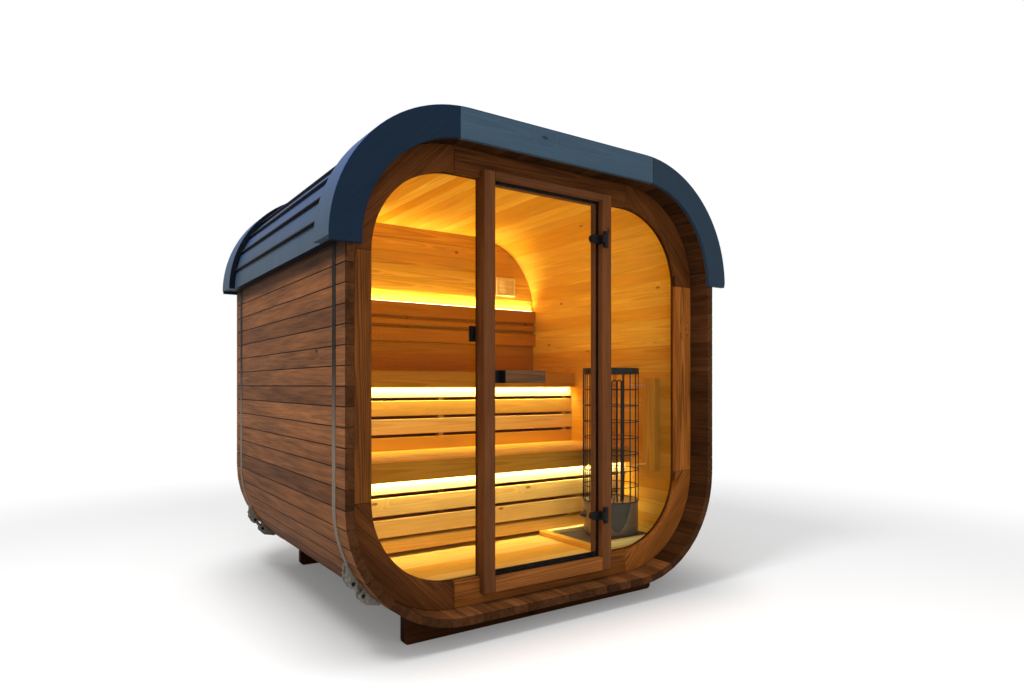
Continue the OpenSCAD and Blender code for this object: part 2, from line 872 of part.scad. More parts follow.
shell_piece(-1, 0);  // wall_left
shell_piece(1, 0);  // wall_right
shell_piece(0, -1);  // shell_floor
shell_piece(0, 1);  // shell_ceiling
shell_piece(-1, 1);  // shell_corner_top_left
shell_piece(1, 1);  // shell_corner_top_right
shell_piece(-1, -1);  // shell_corner_bottom_left
shell_piece(1, -1);  // shell_corner_bottom_right
ring_piece(0, 1);  // front_rail_top
ring_piece(0, -1);  // front_rail_bottom
ring_piece(-1, 0);  // front_stile_left
ring_piece(1, 0);  // front_stile_right
ring_piece(-1, 1);  // front_corner_top_left
ring_piece(1, 1);  // front_corner_top_right
ring_piece(-1, -1);  // front_corner_bottom_left
ring_piece(1, -1);  // front_corner_bottom_right
pane(-1);  // glass_left
pane(1);  // glass_right
glass_beads();
door_jamb_left();
door_jamb_right();
door_head();
door_sill();
door_glass();
door_handle();
door_fittings();
hinge_plates();
back_wall();
fascia(front_y - fascia_t);  // fascia_front
fascia(back_y);  // fascia_back
roof_cover();
verge_flashing_front();
verge_flashing_back();
straps();
strap_clamps();
beam(front_y + beam_inset, beam_half);  // beam_front
beam(back_y - beam_back_inset - beam_t, beam_back_half);  // beam_back
floor_deck();
hearth_frame();
hearth_plate();
upper_bench();
lower_bench();
bench_aprons();
bench_risers();
backrest();
led_strips();
heater_base();
heater_panel();
heater_cage();
heater_elements();
heater_board();
vent();
switch_box();
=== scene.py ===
# %% [markdown]
# # A square barrel sauna
# The house is a ring of spruce staves in the shape of a rounded square, pulled tight by two
# steel straps.  A glass wall with a door closes the front, a boarded wall closes the back,
# and a seamed metal roof lies between two painted fascia boards.  The CAD model fixes every
# place and size, so this lesson only adds what makes timber, glass and sheet metal look real.
# We start by loading that model.

# %% Load the frame
import math
import random

import bmesh
import bpy
import numpy as np
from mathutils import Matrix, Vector


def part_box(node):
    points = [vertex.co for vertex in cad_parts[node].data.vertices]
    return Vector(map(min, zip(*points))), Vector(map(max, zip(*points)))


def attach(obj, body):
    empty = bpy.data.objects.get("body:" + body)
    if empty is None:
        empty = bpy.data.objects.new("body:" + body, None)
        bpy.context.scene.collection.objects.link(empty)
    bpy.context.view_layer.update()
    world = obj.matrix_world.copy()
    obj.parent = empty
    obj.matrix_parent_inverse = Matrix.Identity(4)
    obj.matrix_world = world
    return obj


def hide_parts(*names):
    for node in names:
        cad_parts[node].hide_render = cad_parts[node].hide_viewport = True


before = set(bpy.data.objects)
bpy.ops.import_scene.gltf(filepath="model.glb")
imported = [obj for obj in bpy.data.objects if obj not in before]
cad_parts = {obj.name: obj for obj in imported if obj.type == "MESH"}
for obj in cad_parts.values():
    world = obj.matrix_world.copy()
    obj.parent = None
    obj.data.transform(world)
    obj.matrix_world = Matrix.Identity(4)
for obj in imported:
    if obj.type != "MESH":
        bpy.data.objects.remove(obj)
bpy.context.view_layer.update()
scene = bpy.context.scene
scene.view_settings.view_transform = "Standard"


# %% Objects and meshes
def placed(name, data):
    """A new object in the scene."""
    made = bpy.data.objects.new(name, data)
    scene.collection.objects.link(made)
    return made


def mesh_of(name, verts, faces):
    mesh = bpy.data.meshes.new(name)
    mesh.from_pydata(verts, [], faces)
    return mesh


print("CAD nodes", len(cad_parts))

# %% [markdown]
# A camera at eye height stands off the left front corner.  It looks level, so upright lines
# stay upright, and a small upward shift of the film keeps the roof in view.

# %% Camera
camera = placed("camera", bpy.data.cameras.new("camera"))
scene.camera = camera
camera.location = (-2.193, -3.742, 1.231)
camera.rotation_euler = (math.radians(90), 0, math.radians(-34.3))
camera.data.lens = 23.8
camera.data.sensor_width = 36
camera.data.shift_y = 0.0425
print("camera at", tuple(round(v, 2) for v in camera.location))

# %% [markdown]
# The studio is a white room: a pale floor that fades to white, with a painted shadow round the
# feet, an even sky and three soft lamps, of which the key stands high off the left eave.  The
# sky is pure white where the camera, a reflection or a pane looks at it, and dimmer as a light
# source, so timber keeps its own depth of colour.

# %% Arithmetic between nodes
def sign(operation, swapped=False):
    """A method that adds a maths node.  It is swapped where the link stands right of the sign."""
    def method(self, other):
        return self.graph.maths(operation, *((other, self) if swapped else (self, other)))
    return method


class Link:
    """A value, vector or colour on its way between nodes.  Arithmetic on it adds nodes."""

    def __init__(self, graph, socket):
        self.graph, self.socket = graph, socket

    __add__, __radd__ = sign("ADD"), sign("ADD", True)
    __sub__, __rsub__ = sign("SUBTRACT"), sign("SUBTRACT", True)
    __mul__, __rmul__ = sign("MULTIPLY"), sign("MULTIPLY", True)
    __truediv__ = sign("DIVIDE")


def find_socket(sockets, key):
    """A socket by place, identifier or name; the live one where several share a name."""
    if isinstance(key, int):
        return sockets[key]
    live = [s for s in sockets if s.enabled and key in (s.identifier, s.name)]
    return live[0]


print("links take the signs + - * /")


# %% A small class for node trees
class Graph:
    """Adds nodes to one tree: a material, the world or a Geometry Nodes group."""

    def __init__(self, tree):
        self.tree = tree

    def node(self, kind, settings=None, inputs=None, output=0):
        made = self.tree.nodes.new(kind)
        for name, value in (settings or {}).items():
            setattr(made, name, value)
        for key, value in (inputs or {}).items():
            socket = find_socket(made.inputs, key)
            for one in value if isinstance(value, list) else [value]:
                if isinstance(one, Link):
                    self.tree.links.new(one.socket, socket)
                else:
                    socket.default_value = one
        return Link(self, find_socket(made.outputs, output)) if made.outputs else made

    def maths(self, operation, *terms):
        vectors = [t for t in terms if isinstance(t, tuple)]
        vectors += [t for t in terms if isinstance(t, Link) and t.socket.type == "VECTOR"]
        if vectors:
            terms = [t if isinstance(t, (tuple, Link)) else (t, t, t) for t in terms]
        kind = "ShaderNodeVectorMath" if vectors else "ShaderNodeMath"
        return self.node(kind, {"operation": operation}, dict(enumerate(terms)))

    def step(self, value, low, high):
        """0 below low and 1 above high, with a smooth rise between them."""
        inputs = {"Value": value, "From Min": low, "From Max": high}
        return self.node("ShaderNodeMapRange", {"interpolation_type": "SMOOTHSTEP"}, inputs)

    def noise(self, vector, detail=2.0, roughness=0.5):
        inputs = {"Vector": vector, "Scale": 1.0, "Detail": detail, "Roughness": roughness}
        return self.node("ShaderNodeTexNoise", {}, inputs, "Fac")

    def vector(self, **numbers):
        """A vector from its numbers, such as X=..."""
        return self.node("ShaderNodeCombineXYZ", {}, numbers)

    def part(self, vector, axis):
        """One of the three numbers of a vector."""
        return self.node("ShaderNodeSeparateXYZ", {}, {"Vector": vector}, axis)

    def length(self, vector):
        return self.node("ShaderNodeVectorMath", {"operation": "LENGTH"}, {0: vector}, "Value")

    def stored(self, name, output="Fac"):
        """An attribute of the mesh, for a material."""
        return self.node("ShaderNodeAttribute", {"attribute_name": name}, output=output)

    def named(self, name, kind):
        """An attribute of the mesh, for a Geometry Nodes group."""
        reader = "GeometryNodeInputNamedAttribute"
        return self.node(reader, {"data_type": kind}, {"Name": name}, "Attribute")

    def given(self, label):
        """An input of the group."""
        return self.node("NodeGroupInput", output=label)

    def geometry_of(self, label):
        """The geometry of an object that is an input of the group."""
        return self.node("GeometryNodeObjectInfo", {}, {"Object": self.given(label)}, "Geometry")

    def copies(self, points, instance, **inputs):
        return self.node("GeometryNodeInstanceOnPoints", {},
                         {"Points": points, "Instance": instance, **inputs})

    def moved(self, geometry, **numbers):
        move = {"Geometry": geometry, "Translation": self.vector(**numbers)}
        return self.node("GeometryNodeTransform", {}, move)

    def tilt(self, angle):
        """A turn about the depth axis."""
        return self.node("FunctionNodeEulerToRotation", {}, {"Euler": self.vector(Y=angle)})

    def ray(self, kind):
        """1 for rays of one kind, such as Is Camera Ray."""
        return self.node("ShaderNodeLightPath", output=kind)

    def emission(self, strength):
        return self.node("ShaderNodeEmission", {}, {"Color": (1, 1, 1, 1), "Strength": strength})

    def principled(self, **inputs):
        """The usual surface shader.  Inputs are named with _ for a space."""
        spaced = {name.replace("_", " "): value for name, value in inputs.items()}
        return self.node("ShaderNodeBsdfPrincipled", {}, spaced)

    def bump(self, strength, distance, height):
        values = {"Strength": strength, "Distance": distance, "Height": height}
        return self.node("ShaderNodeBump", {}, values)

    def mix(self, factor, a, b, blend="MIX"):
        settings = {"data_type": "RGBA", "blend_type": blend}
        inputs = {"Factor_Float": factor, "A_Color": a, "B_Color": b}
        return self.node("ShaderNodeMix", settings, inputs, "Result_Color")


print("a graph can add", ", ".join(name for name in vars(Graph) if name[0] != "_"))


# %% Colours and materials
def colour(screen):
    """A screen colour, as three numbers up to 255, in the linear numbers that shaders use."""
    parts = [c / 255 for c in screen]
    linear = [c / 12.92 if c <= 0.04045 else ((c + 0.055) / 1.055) ** 2.4 for c in parts]
    return (*linear, 1.0)


def new_material(name):
    """An empty material and its graph."""
    made = bpy.data.materials.new(name)
    made.use_nodes = True
    made.node_tree.nodes.clear()
    return made, Graph(made.node_tree)


def show(graph, surface, kind="ShaderNodeOutputMaterial"):
    """Links a shader to the output of its material or world."""
    output = graph.tree.nodes.new(kind)
    graph.tree.links.new(surface.socket, output.inputs["Surface"])


print("middle grey is", round(colour((128, 128, 128))[0], 3), "in linear numbers")

# %% World and lamps
SKY_LEVEL = 0.55
world = bpy.data.worlds.new("studio")
scene.world = world
world.use_nodes = True
world.node_tree.nodes.clear()
sky = Graph(world.node_tree)
seen = sky.maths("MAXIMUM", sky.ray("Is Camera Ray"), sky.ray("Is Glossy Ray"))
seen = sky.maths("MAXIMUM", seen, sky.ray("Is Transmission Ray"))
light = {"Color": (1, 1, 1, 1), "Strength": SKY_LEVEL + seen * (1 - SKY_LEVEL)}
show(sky, sky.node("ShaderNodeBackground", {}, light), "ShaderNodeOutputWorld")


def area_lamp(name, place, target, size, watts, tint=(1, 1, 1), spread=180):
    """A flat lamp at one place that faces a target.  It gives light but isn't seen itself."""
    light = bpy.data.lights.new(name, "AREA")
    light.shape = "RECTANGLE"
    light.size, light.size_y = size
    light.spread = math.radians(spread)
    light.energy = watts
    light.color = tint
    lamp = placed(name, light)
    lamp.location = place
    lamp.rotation_euler = (Vector(target) - Vector(place)).to_track_quat("-Z", "Y").to_euler()
    lamp.visible_camera = False
    lamp.visible_glossy = False
    return lamp


area_lamp("key", (-3.2, -1.6, 5.7), (0, 0, 1.2), (1.4, 1.4), 200)
area_lamp("overhead", (-0.6, -1.0, 5.4), (0, 0, 1.0), (4.5, 4.5), 70)
area_lamp("front", (-1.6, -5.6, 2.8), (0, -0.6, 1.0), (2.4, 2.4), 90)

# %% Floor
WHITE_FROM, WHITE_TO = 3.2, 6.0
FEET, FEET_HALF, SHADE_REACH = (0.1, 0.1, 0.0), (0.80, 0.75, 0.0), 0.9
SHADOW_GREY, FAR_GREY, SEEN_LIFT = 0.34, 0.84, 0.16
FLOOR_HALF = 30
paper, g = new_material("paper_floor")
spot = g.node("ShaderNodeTexCoord", output="Object")
faded = g.step(g.length(spot), WHITE_FROM, WHITE_TO)
# painted shadow: darker near the feet, by the distance from a rectangle round them
beyond = g.maths("MAXIMUM", g.maths("ABSOLUTE", spot - FEET) - FEET_HALF, (0.0, 0.0, 0.0))
away = g.step(g.length(beyond), 0.0, SHADE_REACH)
greys = [(grey, grey, grey, 1) for grey in (SHADOW_GREY, FAR_GREY)]
matte = g.node("ShaderNodeBsdfDiffuse", {}, {"Color": g.mix(away, *greys)})
lift = g.emission(SEEN_LIFT * g.ray("Is Camera Ray"))
shaded = g.node("ShaderNodeAddShader", {}, {0: matte, 1: lift})
show(g, g.node("ShaderNodeMixShader", {}, {"Fac": faded, 1: shaded, 2: g.emission(1.0)}))
corners = [(x * FLOOR_HALF, y * FLOOR_HALF, 0) for x, y in ((-1, -1), (1, -1), (1, 1), (-1, 1))]
floor = placed("floor", mesh_of("floor", corners, [(0, 1, 2, 3)]))
floor.data.materials.append(paper)
print("floor laid, shaded to", SHADE_REACH, "m from the feet")

# %% [markdown]
# Wood is a solid, and its figure comes from one rule: a board is cut out of a cone of yearly
# rings.  Each board carries its own coordinates in an attribute named grain, as distances
# along the board, across it and away from the heart of the tree.  The ring number is then the
# distance from the heart, so faces show long stripes or arches and ends show arcs.  A second
# attribute, tone, holds one number a board, and a third, end, is 1 on sawn ends, which soak up
# more stain and dry darker.  On the shell, end also holds painted shade in the open recesses.
# Three noises stretched along the grain add fibres, streaks and broad patches.

# %% Wood material
KNOT_CELLS, KNOT_EDGE, KNOT_BEND = 7.0, (0.006, 0.012), 0.06
RING_PITCH, TAPER = 0.0045, 0.007
# painted shadow under the eave: how deep it is, and where it falls
EAVE_SHADE, EAVE_SIDE, EAVE_HEIGHT = 0.7, (1.160, 1.167), (1.755, 1.80)


def knots_in(g, grain, sway, share):
    """Round knots in a share of the cells of a scatter, and the wider bend of grain round them."""
    cell = {"Vector": grain * (0.45, 1.0, 0.03), "Scale": KNOT_CELLS}
    near = g.node("ShaderNodeTexVoronoi", {}, cell, "Distance")
    pick = g.node("ShaderNodeTexVoronoi", {}, cell, "Color")
    chance = g.node("ShaderNodeSeparateColor", {}, {"Color": pick}, "Red")
    chosen = g.maths("GREATER_THAN", chance, 1 - share)
    reach = near / KNOT_CELLS + sway * 0.008
    knot = (1 - g.step(reach, *KNOT_EDGE)) * chosen
    return knot, (1 - g.step(reach, 0.0, KNOT_BEND)) * chosen


def ring_lines(g, grain, sway, bend):
    """The dark late wood of each year, in rings round the heart of the tree."""
    across = g.part(grain, "Y") + sway * 0.016
    depth = g.part(grain, "Z")
    heart = g.maths("SQRT", across * across + depth * depth)
    count = (heart + g.part(grain, "X") * TAPER + bend * bend * 0.02) / RING_PITCH
    turn = g.maths("FRACT", count)
    return g.step(turn, 0.25, 0.85) * (1 - g.step(turn, 0.92, 1.0))


def painted_eave_shadow(g):
    """1 on the outer faces just under the eave, which are darkened there as painted shadow of the
    eave.
    """
    place = g.node("ShaderNodeTexCoord", output="Object")
    outer = g.step(g.maths("ABSOLUTE", g.part(place, "X")), *EAVE_SIDE)
    return outer * g.step(g.part(place, "Z"), *EAVE_HEIGHT)


def wood(name, pale, deep, rings, knot_eye, ring_mix=0.3, knots=0.5, stain=0.35,
         roughness=0.6, relief=0.3, gloss=0.05, end_soak=0.5, shadow_under_eave=False):
    """Boards between two colours, one for each end of the tone, with rings, fibres and knots."""
    made, g = new_material(name)
    grain = g.stored("grain", "Vector")
    sway = g.noise(grain * (1.1, 8.0, 8.0), detail=2.0) - 0.5
    knot, bend = knots_in(g, grain, sway, knots)
    late = ring_lines(g, grain, sway, bend)
    fibre = g.noise(grain * (5.0, 260.0, 260.0), detail=3.0, roughness=0.6)
    streak = g.noise(grain * (3.5, 55.0, 55.0), detail=3.0, roughness=0.6)
    patch = g.noise(grain * (1.6, 11.0, 11.0), detail=3.0, roughness=0.55)
    body = g.mix(g.stored("tone"), colour(pale), colour(deep))
    body = g.mix(late * ring_mix, body, colour(rings))
    shade = 1 + ((fibre - 0.5) * 1.1 + (streak - 0.5) * 1.5 + (patch - 0.5) * 1.5) * stain
    # painted shadow of the eave on the outer wall
    if shadow_under_eave:
        shade = shade * (1 - EAVE_SHADE * painted_eave_shadow(g))
    body = g.mix(1.0, body, shade * (1 - g.stored("end") * end_soak), "MULTIPLY")
    body = g.mix(knot * 0.8, body, colour(knot_eye))
    height = late * 0.35 + fibre * 0.65 - knot * 0.4
    show(g, g.principled(
        Base_Color=body, Roughness=roughness + (fibre - 0.5) * 0.3, Specular_IOR_Level=gloss,
        Normal=g.bump(relief, 0.0015, height),
    ))
    return made


# %% The woods
stained = wood("stained_staves", (128, 80, 44), (92, 55, 28), (52, 26, 9), (38, 19, 8),
               stain=1.05, ring_mix=0.22, relief=0.6, end_soak=0.66, shadow_under_eave=True)
frame_wood = wood("front_frame_wood", (154, 90, 35), (86, 48, 19), (42, 21, 8), (32, 16, 7),
                  stain=0.9, ring_mix=0.5, relief=0.5)
door_wood = wood("door_frame_wood", (134, 80, 35), (90, 53, 28), (56, 31, 14), (40, 22, 10),
                 stain=0.55, knots=0.25, ring_mix=0.4, relief=0.35, gloss=0.08)
beam_wood = wood("beam_wood", (72, 39, 16), (60, 31, 11), (36, 18, 7), (24, 12, 6),
                 stain=0.6, relief=0.4, end_soak=0.7)
# painted light and shade: inner, bench and backrest wood are one pine in three copies; the walls,
# ceiling, backrest and aprons, which stand in shade, get darker, redder copies, and the lit benches,
# slats and floor a paler, yellower one
bare = wood("inner_wood", (232, 180, 60), (204, 138, 10), (180, 106, 10), (120, 54, 6),
            stain=0.24, ring_mix=0.4, knots=0.75, relief=0.18, end_soak=0.1)
planed = wood("bench_wood", (248, 222, 140), (206, 144, 16), (186, 122, 16), (136, 66, 10),
              stain=0.2, ring_mix=0.3, knots=0.6, relief=0.15, end_soak=0.1)
amber = wood("backrest_wood", (240, 184, 56), (160, 90, 6), (136, 72, 6), (100, 44, 6),
             stain=0.24, ring_mix=0.4, knots=0.5, relief=0.15, end_soak=0.1)
grip_wood = wood("handle_wood", (102, 70, 45), (82, 56, 36), (60, 40, 25), (52, 34, 22),
                 stain=0.5, ring_mix=0.5, knots=0.0, relief=0.3)
fascia_paint = wood("fascia_paint", (54, 72, 86), (13, 28, 43), (24, 39, 53), (20, 32, 44), stain=0.2,
                    ring_mix=0.15, knots=0.5, roughness=0.5, relief=0.2, gloss=0.08, end_soak=0.1)
print("woods", [m.name for m in bpy.data.materials if "wood" in m.name or "stave" in m.name])

# %% [markdown]
# Metal and glass are simpler.  Coated sheet is a paint film over steel: a dark blue-grey with
# a soft gloss and faint waves.  Brushed steel has fine scratches in one direction.  Clear
# glass lets most light straight through and mirrors a little more at a slant, which a Fresnel
# factor between a transparent and a glossy shader gives without slow refraction.

# %% Metal, glass and slate
MIRROR = 0.12


def plain_surface(name, base, wear, roughness, metallic=0.0, scale=(30, 30, 30), relief=0.15,
                  gloss=0.3, lower=None, levels=(0, 1)):
    """A finish whose colour, gloss and relief follow one noise.  Between two heights, the
    levels, it fades down to the lower colour where there is one, as painted light: light that
    changes with height on a sheet of one colour."""
    made, g = new_material(name)
    place = g.node("ShaderNodeTexCoord", output="Object")
    fine = g.noise(place * scale, detail=4.0, roughness=0.6)
    broad = g.noise(place * (1.7, 1.7, 1.7), detail=2.0)
    mask = g.step(fine * 0.7 + broad * 0.3, 0.42, 0.66)
    body = g.mix(mask, colour(base), colour(wear))
    if lower:
        height = g.part(place, "Z") + (broad - 0.5) * 0.2
        body = g.mix(1 - g.step(height, *levels), body, colour(lower))
    show(g, g.principled(
        Base_Color=body, Roughness=roughness + (fine - 0.5) * 0.15, Metallic=metallic,
        Specular_IOR_Level=gloss, Normal=g.bump(relief, 0.001, fine),
    ))
    return made


def clear_glass(name, tint, rough):
    """Glass that passes light straight on, with a mirror image that grows at a slant."""
    made, g = new_material(name)
    through = g.node("ShaderNodeBsdfTransparent", {}, {"Color": tint})
    mirror = g.node("ShaderNodeBsdfAnisotropic", {}, {"Color": (1, 1, 1, 1), "Roughness": rough})
    entering = 1 - g.node("ShaderNodeNewGeometry", output="Backfacing")
    slant = g.node("ShaderNodeFresnel", {}, {"IOR": 1.45}) * entering * MIRROR
    show(g, g.node("ShaderNodeMixShader", {}, {"Fac": slant, 1: through, 2: mirror}))
    return made


def glowing(name, tint, strength):
    """A light strip behind a milky cover."""
    made, g = new_material(name)
    show(g, g.principled(Base_Color=(0.9, 0.8, 0.6, 1), Roughness=0.4, Emission_Color=tint,
                         Emission_Strength=strength))
    return made


# %% The other finishes
glass = clear_glass("clear_glass", (0.94, 0.96, 0.95, 1), 0.02)
lamp_cover = glowing("light_strip", (1.0, 0.74, 0.38, 1), 14.0)
# painted light: the sheet fades to a paler, greyer colour low on its curves
roof_sheet = plain_surface("roof_metal", (38, 62, 104), (46, 70, 112), 0.5, scale=(3, 9, 3),
                           relief=0.06, gloss=0.05, lower=(56, 72, 87), levels=(1.85, 2.3))
seam_sheet = plain_surface("seam_metal", (8, 11, 17), (14, 18, 26), 0.45, relief=0.05, gloss=0.06)
# painted light and shade: the strap is dark high up, in the shade of the roof, and pale low down, as
# a painted reflection of the floor
strap_steel = plain_surface("strap_steel", (22, 20, 22), (16, 14, 16), 0.5, scale=(60, 8, 60),
                            relief=0.08, gloss=0.03, lower=(112, 99, 86), levels=(0.9, 1.4))
zinc = plain_surface("clamp_steel", (112, 108, 98), (80, 77, 69), 0.45, metallic=0.3,
                     scale=(70, 70, 70), relief=0.06)
black = plain_surface("black_fittings", (9, 9, 11), (15, 15, 17), 0.4, scale=(90, 90, 90),
                      relief=0.1, gloss=0.12)
rubber = plain_surface("door_seal", (10, 9, 8), (16, 14, 13), 0.8, scale=(120, 120, 40), gloss=0.1)
brushed = plain_surface("heater_steel", (150, 130, 104), (124, 106, 84), 0.38, metallic=0.6,
                        scale=(8, 8, 420), relief=0.12)
heater_dark = plain_surface("heater_black", (64, 56, 44), (76, 66, 52), 0.5, metallic=0.1)
wire = plain_surface("cage_wire", (20, 17, 15), (30, 26, 22), 0.5, metallic=0.1, scale=(80, 80, 80))
element = plain_surface("element_steel", (34, 30, 27), (48, 42, 37), 0.45, metallic=0.4,
                        scale=(60, 60, 20))
slate = plain_surface("hearth_slate", (60, 48, 36), (74, 60, 46), 0.6, scale=(22, 22, 22), relief=0.3)
rod_steel = plain_surface("bracket_steel", (214, 208, 196), (190, 184, 172), 0.3, metallic=0.7,
                          scale=(60, 60, 60))
print(len(bpy.data.materials), "materials, with those of the CAD model")

# %% [markdown]
# Nearly every board here is a flat outline pushed through a depth, like a piece sawn from a
# plank.  So one helper makes them all: it takes the outline as seen from the front and eases
# every edge with a small chamfer, because real edges catch the light.  A collector joins such
# pieces into one mesh and gives each its grain direction and its own place in the tree.

# %% Sizes read from the frame
left_wall, left_wall_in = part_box("wall_left")
half_w = -left_wall.x
stave_t = left_wall_in.x - left_wall.x
arc_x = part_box("shell_ceiling")[1].x
radius = half_w - arc_x
arc_low, arc_top = left_wall.z, left_wall_in.z
mid_z = (arc_low + arc_top) / 2
shell_top = mid_z + half_w
front_y, back_y = left_wall.y, left_wall_in.y
ring_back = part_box("front_stile_left")[1].y
inner_back, outer_back = (corner.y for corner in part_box("back_wall"))
FIT = 0.0003
print(f"shell {2 * half_w:.3f} m square, corner radius {radius:.3f}, staves {stave_t:.3f} thick")


# %% Outlines
def arc(side, level, r, start, end, steps=14):
    """Points round one corner centre, with angles in degrees from the right, anticlockwise."""
    turn = np.radians(np.linspace(start, end, steps + 1))
    centre = (side * arc_x, arc_top if level > 0 else arc_low)
    return [(centre[0] + r * math.cos(a), centre[1] + r * math.sin(a)) for a in turn]


def inside_x(z, inset):
    """Half the width of the rounded square at a height, drawn in by inset."""
    over = max(z - arc_top, arc_low - z, 0.0)
    r = radius - inset
    return arc_x + math.sqrt(max(r * r - over * over, 0.0)) if over > 0 else arc_x + r


def mirrored(points):
    """The same points on the other side of the middle, in the reverse order."""
    return [(-x, z) for x, z in reversed(points)]


def course(low, high, inset, steps=6):
    """A level board whose ends follow the rounded square."""
    levels = [low + (high - low) * i / steps for i in range(steps + 1)]
    right = [(inside_x(z, inset), z) for z in levels]
    return right + mirrored(right)


def rectangle(x0, z0, x1, z1):
    return [(x0, z0), (x1, z0), (x1, z1), (x0, z1)]


print("half width of the shell at floor level", round(inside_x(0.28, stave_t), 3))


# %% From an outline to a shape
EDGE = 0.002


def anticlockwise(points):
    """The outline as an array that runs anticlockwise, without repeated points."""
    kept = [p for i, p in enumerate(points) if math.dist(p, points[i - 1]) > 1e-6]
    flat = np.array(kept, float)
    x, z = flat[:, 0], flat[:, 1]
    area = np.sum(x * np.roll(z, -1) - np.roll(x, -1) * z)
    return flat if area > 0 else flat[::-1]


def drawn_in(outline, amount):
    """The outline moved inward by the same amount all round."""
    before = outline - np.roll(outline, 1, axis=0)
    after = np.roll(outline, -1, axis=0) - outline
    before /= np.linalg.norm(before, axis=1)[:, None]
    after /= np.linalg.norm(after, axis=1)[:, None]
    inward = np.stack([-before[:, 1] - after[:, 1], before[:, 0] + after[:, 0]], 1)
    square = np.sum(inward * inward, axis=1)[:, None]
    return outline + inward * amount * 2 / np.maximum(square, 0.5)


def trimmed(outline, cuts, sharpest=25):
    """The outline with each real corner cut off at 45 degrees, by its own amount."""
    points = []
    n = len(outline)
    for i in range(n):
        p, a, b, cut = outline[i], outline[i - 1], outline[(i + 1) % n], cuts[i]
        u, v = (a - p) / np.linalg.norm(a - p), (b - p) / np.linalg.norm(b - p)
        bend = 180 - math.degrees(math.acos(max(-1.0, min(1.0, float(u @ v)))))
        if bend > sharpest:
            points += [p + u * cut, p + v * cut]
        else:
            points.append(p)
    return np.array(points)


def prism(points, y0, y1, edge=EDGE, stations=(), cuts=None):
    """Vertices and faces of an outline pushed from y0 to y1 with all its edges eased."""
    whole = anticlockwise(points)
    if edge:
        whole = trimmed(whole, cuts or [edge] * len(whole))
    rows = [(whole, y) for y in stations]
    if edge:
        small = drawn_in(whole, edge)
        rows = [(small, y0), (whole, y0 + edge), *rows, (whole, y1 - edge), (small, y1)]
    else:
        rows = [(whole, y0), *rows, (whole, y1)]
    n = len(whole)
    verts = np.concatenate([np.stack([r[:, 0], np.full(n, y), r[:, 1]], 1) for r, y in rows])
    faces = [tuple(range(n)), tuple(range(len(verts) - 1, len(verts) - n - 1, -1))]
    for k in range(len(rows) - 1):
        for i in range(n):
            j = (i + 1) % n
            faces.append((k * n + i, (k + 1) * n + i, (k + 1) * n + j, k * n + j))
    return verts, faces


print("a square post has", len(prism(rectangle(0, 0, 1, 1), 0, 1)[1]), "faces")


# %% Grain
AXES = {"x": (1, 0, 0), "y": (0, 1, 0), "z": (0, 0, 1)}
# a face cuts the grain where its normal leans this far along it
ACROSS = 0.6
# a board's place in its tree: along the trunk, to one side and out from the heart, in metres
ALONG, ASIDE, FROM_HEART = (0, 40), (-0.05, 0.05), (0.035, 0.11)


def unit(direction):
    return np.array(Vector(AXES.get(direction, direction)).normalized())


def is_end(corners, along):
    """1 for a face that cuts across the grain, 0 for any other."""
    turns = np.cross(corners - corners[0], np.roll(corners, -1, axis=0) - corners[0]).sum(0)
    size = np.linalg.norm(turns)
    return float(size > 0 and abs(turns @ along) > ACROSS * size)


def store(mesh, name, kind, domain, values):
    """Writes one attribute of a mesh."""
    field = "vector" if kind == "FLOAT_VECTOR" else "value"
    mesh.attributes.new(name, kind, domain).data.foreach_set(field, np.ravel(values))


print("boards come from", ALONG[1], "m of trunk")


# %% Collecting boards into a piece
SMOOTH_BELOW = math.radians(28)


class Boards:
    """Closed shapes gathered into one mesh, each with its own lot of timber."""

    def __init__(self, seed):
        self.draw = random.Random(seed)
        self.verts, self.faces, self.grain, self.tone = [], [], [], []
        self.marks, self.ends = [], []
        self.count = 0

    def add(self, shape, along, across, tone=None, mark=0, soak=None):
        """Adds one shape.  along is the grain direction.  mark picks a material for the faces and
        soak says how much stain a face takes up, where it isn't simply that of a sawn end."""
        verts, faces = shape
        u, v = unit(along), unit(across)
        centre = (verts.min(0) + verts.max(0)) / 2
        local = (verts - centre) @ np.stack([u, v, np.cross(u, v)], 1)
        shift = (
            self.draw.uniform(*ALONG),
            self.draw.uniform(*ASIDE),
            self.draw.choice((-1, 1)) * self.draw.uniform(*FROM_HEART),
        )
        base = sum(map(len, self.verts))
        self.verts.append(verts)
        self.faces += [tuple(base + i for i in face) for face in faces]
        corners = [verts[list(face)] for face in faces]
        self.grain.append(local + shift)
        tone = self.draw.random() if tone is None else tone
        self.tone.append(np.full(len(verts), tone))
        self.ends += [soak(spots) if soak else is_end(spots, u) for spots in corners]
        self.marks += [mark(spots) if callable(mark) else mark for spots in corners]
        self.count += 1

    def block(self, low, high, along, across, edge=EDGE, **kwargs):
        """Adds a rectangular piece with eased edges."""
        shape = prism(rectangle(low[0], low[2], high[0], high[2]), low[1], high[1], edge)
        self.add(shape, along, across, **kwargs)

    def bars(self, xs, width, low, high, along, across, **kwargs):
        """Adds equal bars at several places from side to side.  low and high are (y, z)."""
        for x in xs:
            self.block((x - width / 2, *low), (x + width / 2, *high), along, across, **kwargs)

    def make(self, name, materials, stands_for):
        """Makes the piece, shades it smooth between its sharp edges and puts it in the frame."""
        mesh = mesh_of(name, np.concatenate(self.verts).tolist(), self.faces)
        store(mesh, "grain", "FLOAT_VECTOR", "POINT", np.concatenate(self.grain))
        store(mesh, "tone", "FLOAT", "POINT", np.concatenate(self.tone))
        store(mesh, "end", "FLOAT", "FACE", self.ends)
        for material in materials:
            mesh.materials.append(material)
        mesh.polygons.foreach_set("material_index", self.marks)
        return finished(name, mesh, stands_for, f"{self.count} shapes")


